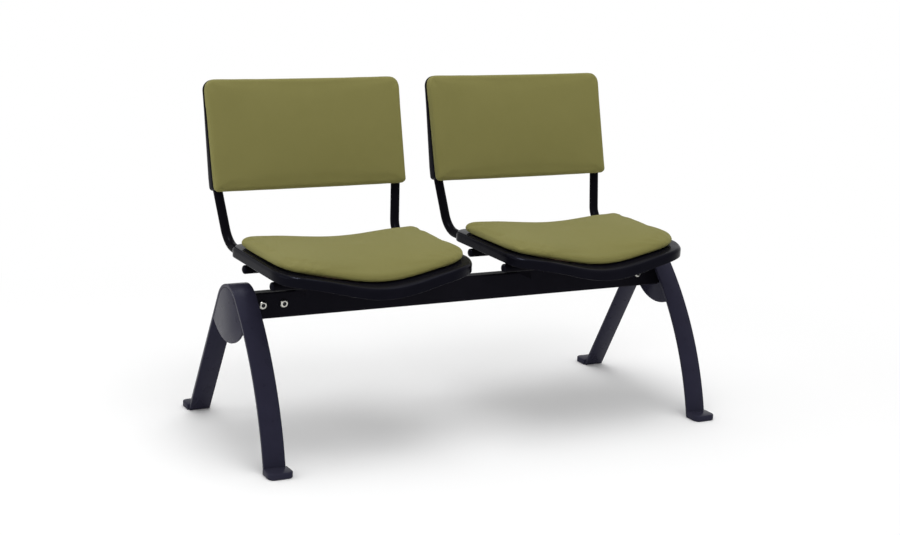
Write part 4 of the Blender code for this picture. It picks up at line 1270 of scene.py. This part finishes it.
def looked_at(graph):
    """1 for a ray of the eye or of a reflection, 0 for one that brings light."""
    kinds = ("Camera", "Glossy", "Transmission")
    eye, mirror, glass = (graph.node("ShaderNodeLightPath", {}, {}, f"Is {kind} Ray") for kind in kinds)
    return eye + mirror + glass


bm = bmesh.new()
bmesh.ops.create_grid(bm, x_segments=1, y_segments=1, size=FLOOR_HALF)
floor_mesh = mesh_of("studio_floor", bm, outward=False)
paper = Finish("studio_paper", Roughness=0.9, Specular_IOR_Level=0.0, Base_Color=(0.96, 0.96, 0.96, 1.0))
distance = paper.node("ShaderNodeVectorMath", {"operation": "LENGTH"}, {0: paper.place()}, "Value")
fade = paper.node("ShaderNodeMapRange", {"interpolation_type": "SMOOTHSTEP"},
                  {0: distance, 1: FADE_FROM, 2: FADE_FROM + FADE_OVER, 3: 0.0, 4: 1.0})
glow = paper.node("ShaderNodeEmission", {}, {"Color": WHITE, "Strength": 1.0})
surface = Amount(paper, paper.shader.outputs[0])
shown = paper.node("ShaderNodeMixShader", {}, {0: fade * looked_at(paper), 1: surface, 2: glow})
paper.feed(paper.nodes["Material Output"].inputs["Surface"], shown)
floor_mesh.materials.append(paper.material)
floor = linked("studio_floor", floor_mesh)
print("floor of", 2 * FLOOR_HALF, "m")

# %% Fill the world with light
FILL = 0.78

world = bpy.data.worlds.new("studio")
world.use_nodes = True
bpy.context.scene.world = world
sky = Graph(world.node_tree)
sky.nodes.remove(sky.nodes["Background"])
lit = sky.node("ShaderNodeBackground", {}, {"Color": WHITE, "Strength": FILL})
backdrop = sky.node("ShaderNodeBackground", {}, {"Color": WHITE, "Strength": 1.0})
choice = sky.node("ShaderNodeMixShader", {}, {0: looked_at(sky), 1: lit, 2: backdrop})
sky.feed(sky.nodes["World Output"].inputs["Surface"], choice)
bpy.context.scene.view_settings.view_transform = "Standard"
print("world of", len(sky.nodes), "nodes")

# %% Hang the lamps
SOFT_BOXES = {
    "overhead": {"place": (0.1, -0.10, 3.0), "aim": (0.0, 0.0, 0.2), "size": (2.4, 1.4), "power": 32.0},
    "left_side": {"place": (-3.2, 0.4, 1.5), "aim": (-0.4, 0.0, 0.3), "size": (1.6, 1.6), "power": 16.0},
    "glint": {"place": (-1.2, 0.26, 2.8), "aim": (-0.4, -0.2, 0.4), "size": (0.4, 0.4), "power": 80.0},
}
for name, box in SOFT_BOXES.items():
    lamp = bpy.data.lights.new(name, "AREA")
    lamp.shape = "RECTANGLE"
    lamp.size, lamp.size_y = box["size"]
    lamp.energy = box["power"]
    holder = linked(name, lamp)
    place = Vector(box["place"])
    aim = (Vector(box["aim"]) - place).to_track_quat("-Z", "Y")
    holder.matrix_world = Matrix.LocRotScale(place, aim, None)
    holder.visible_diffuse = name != "glint"
print("lamps:", ", ".join(SOFT_BOXES))
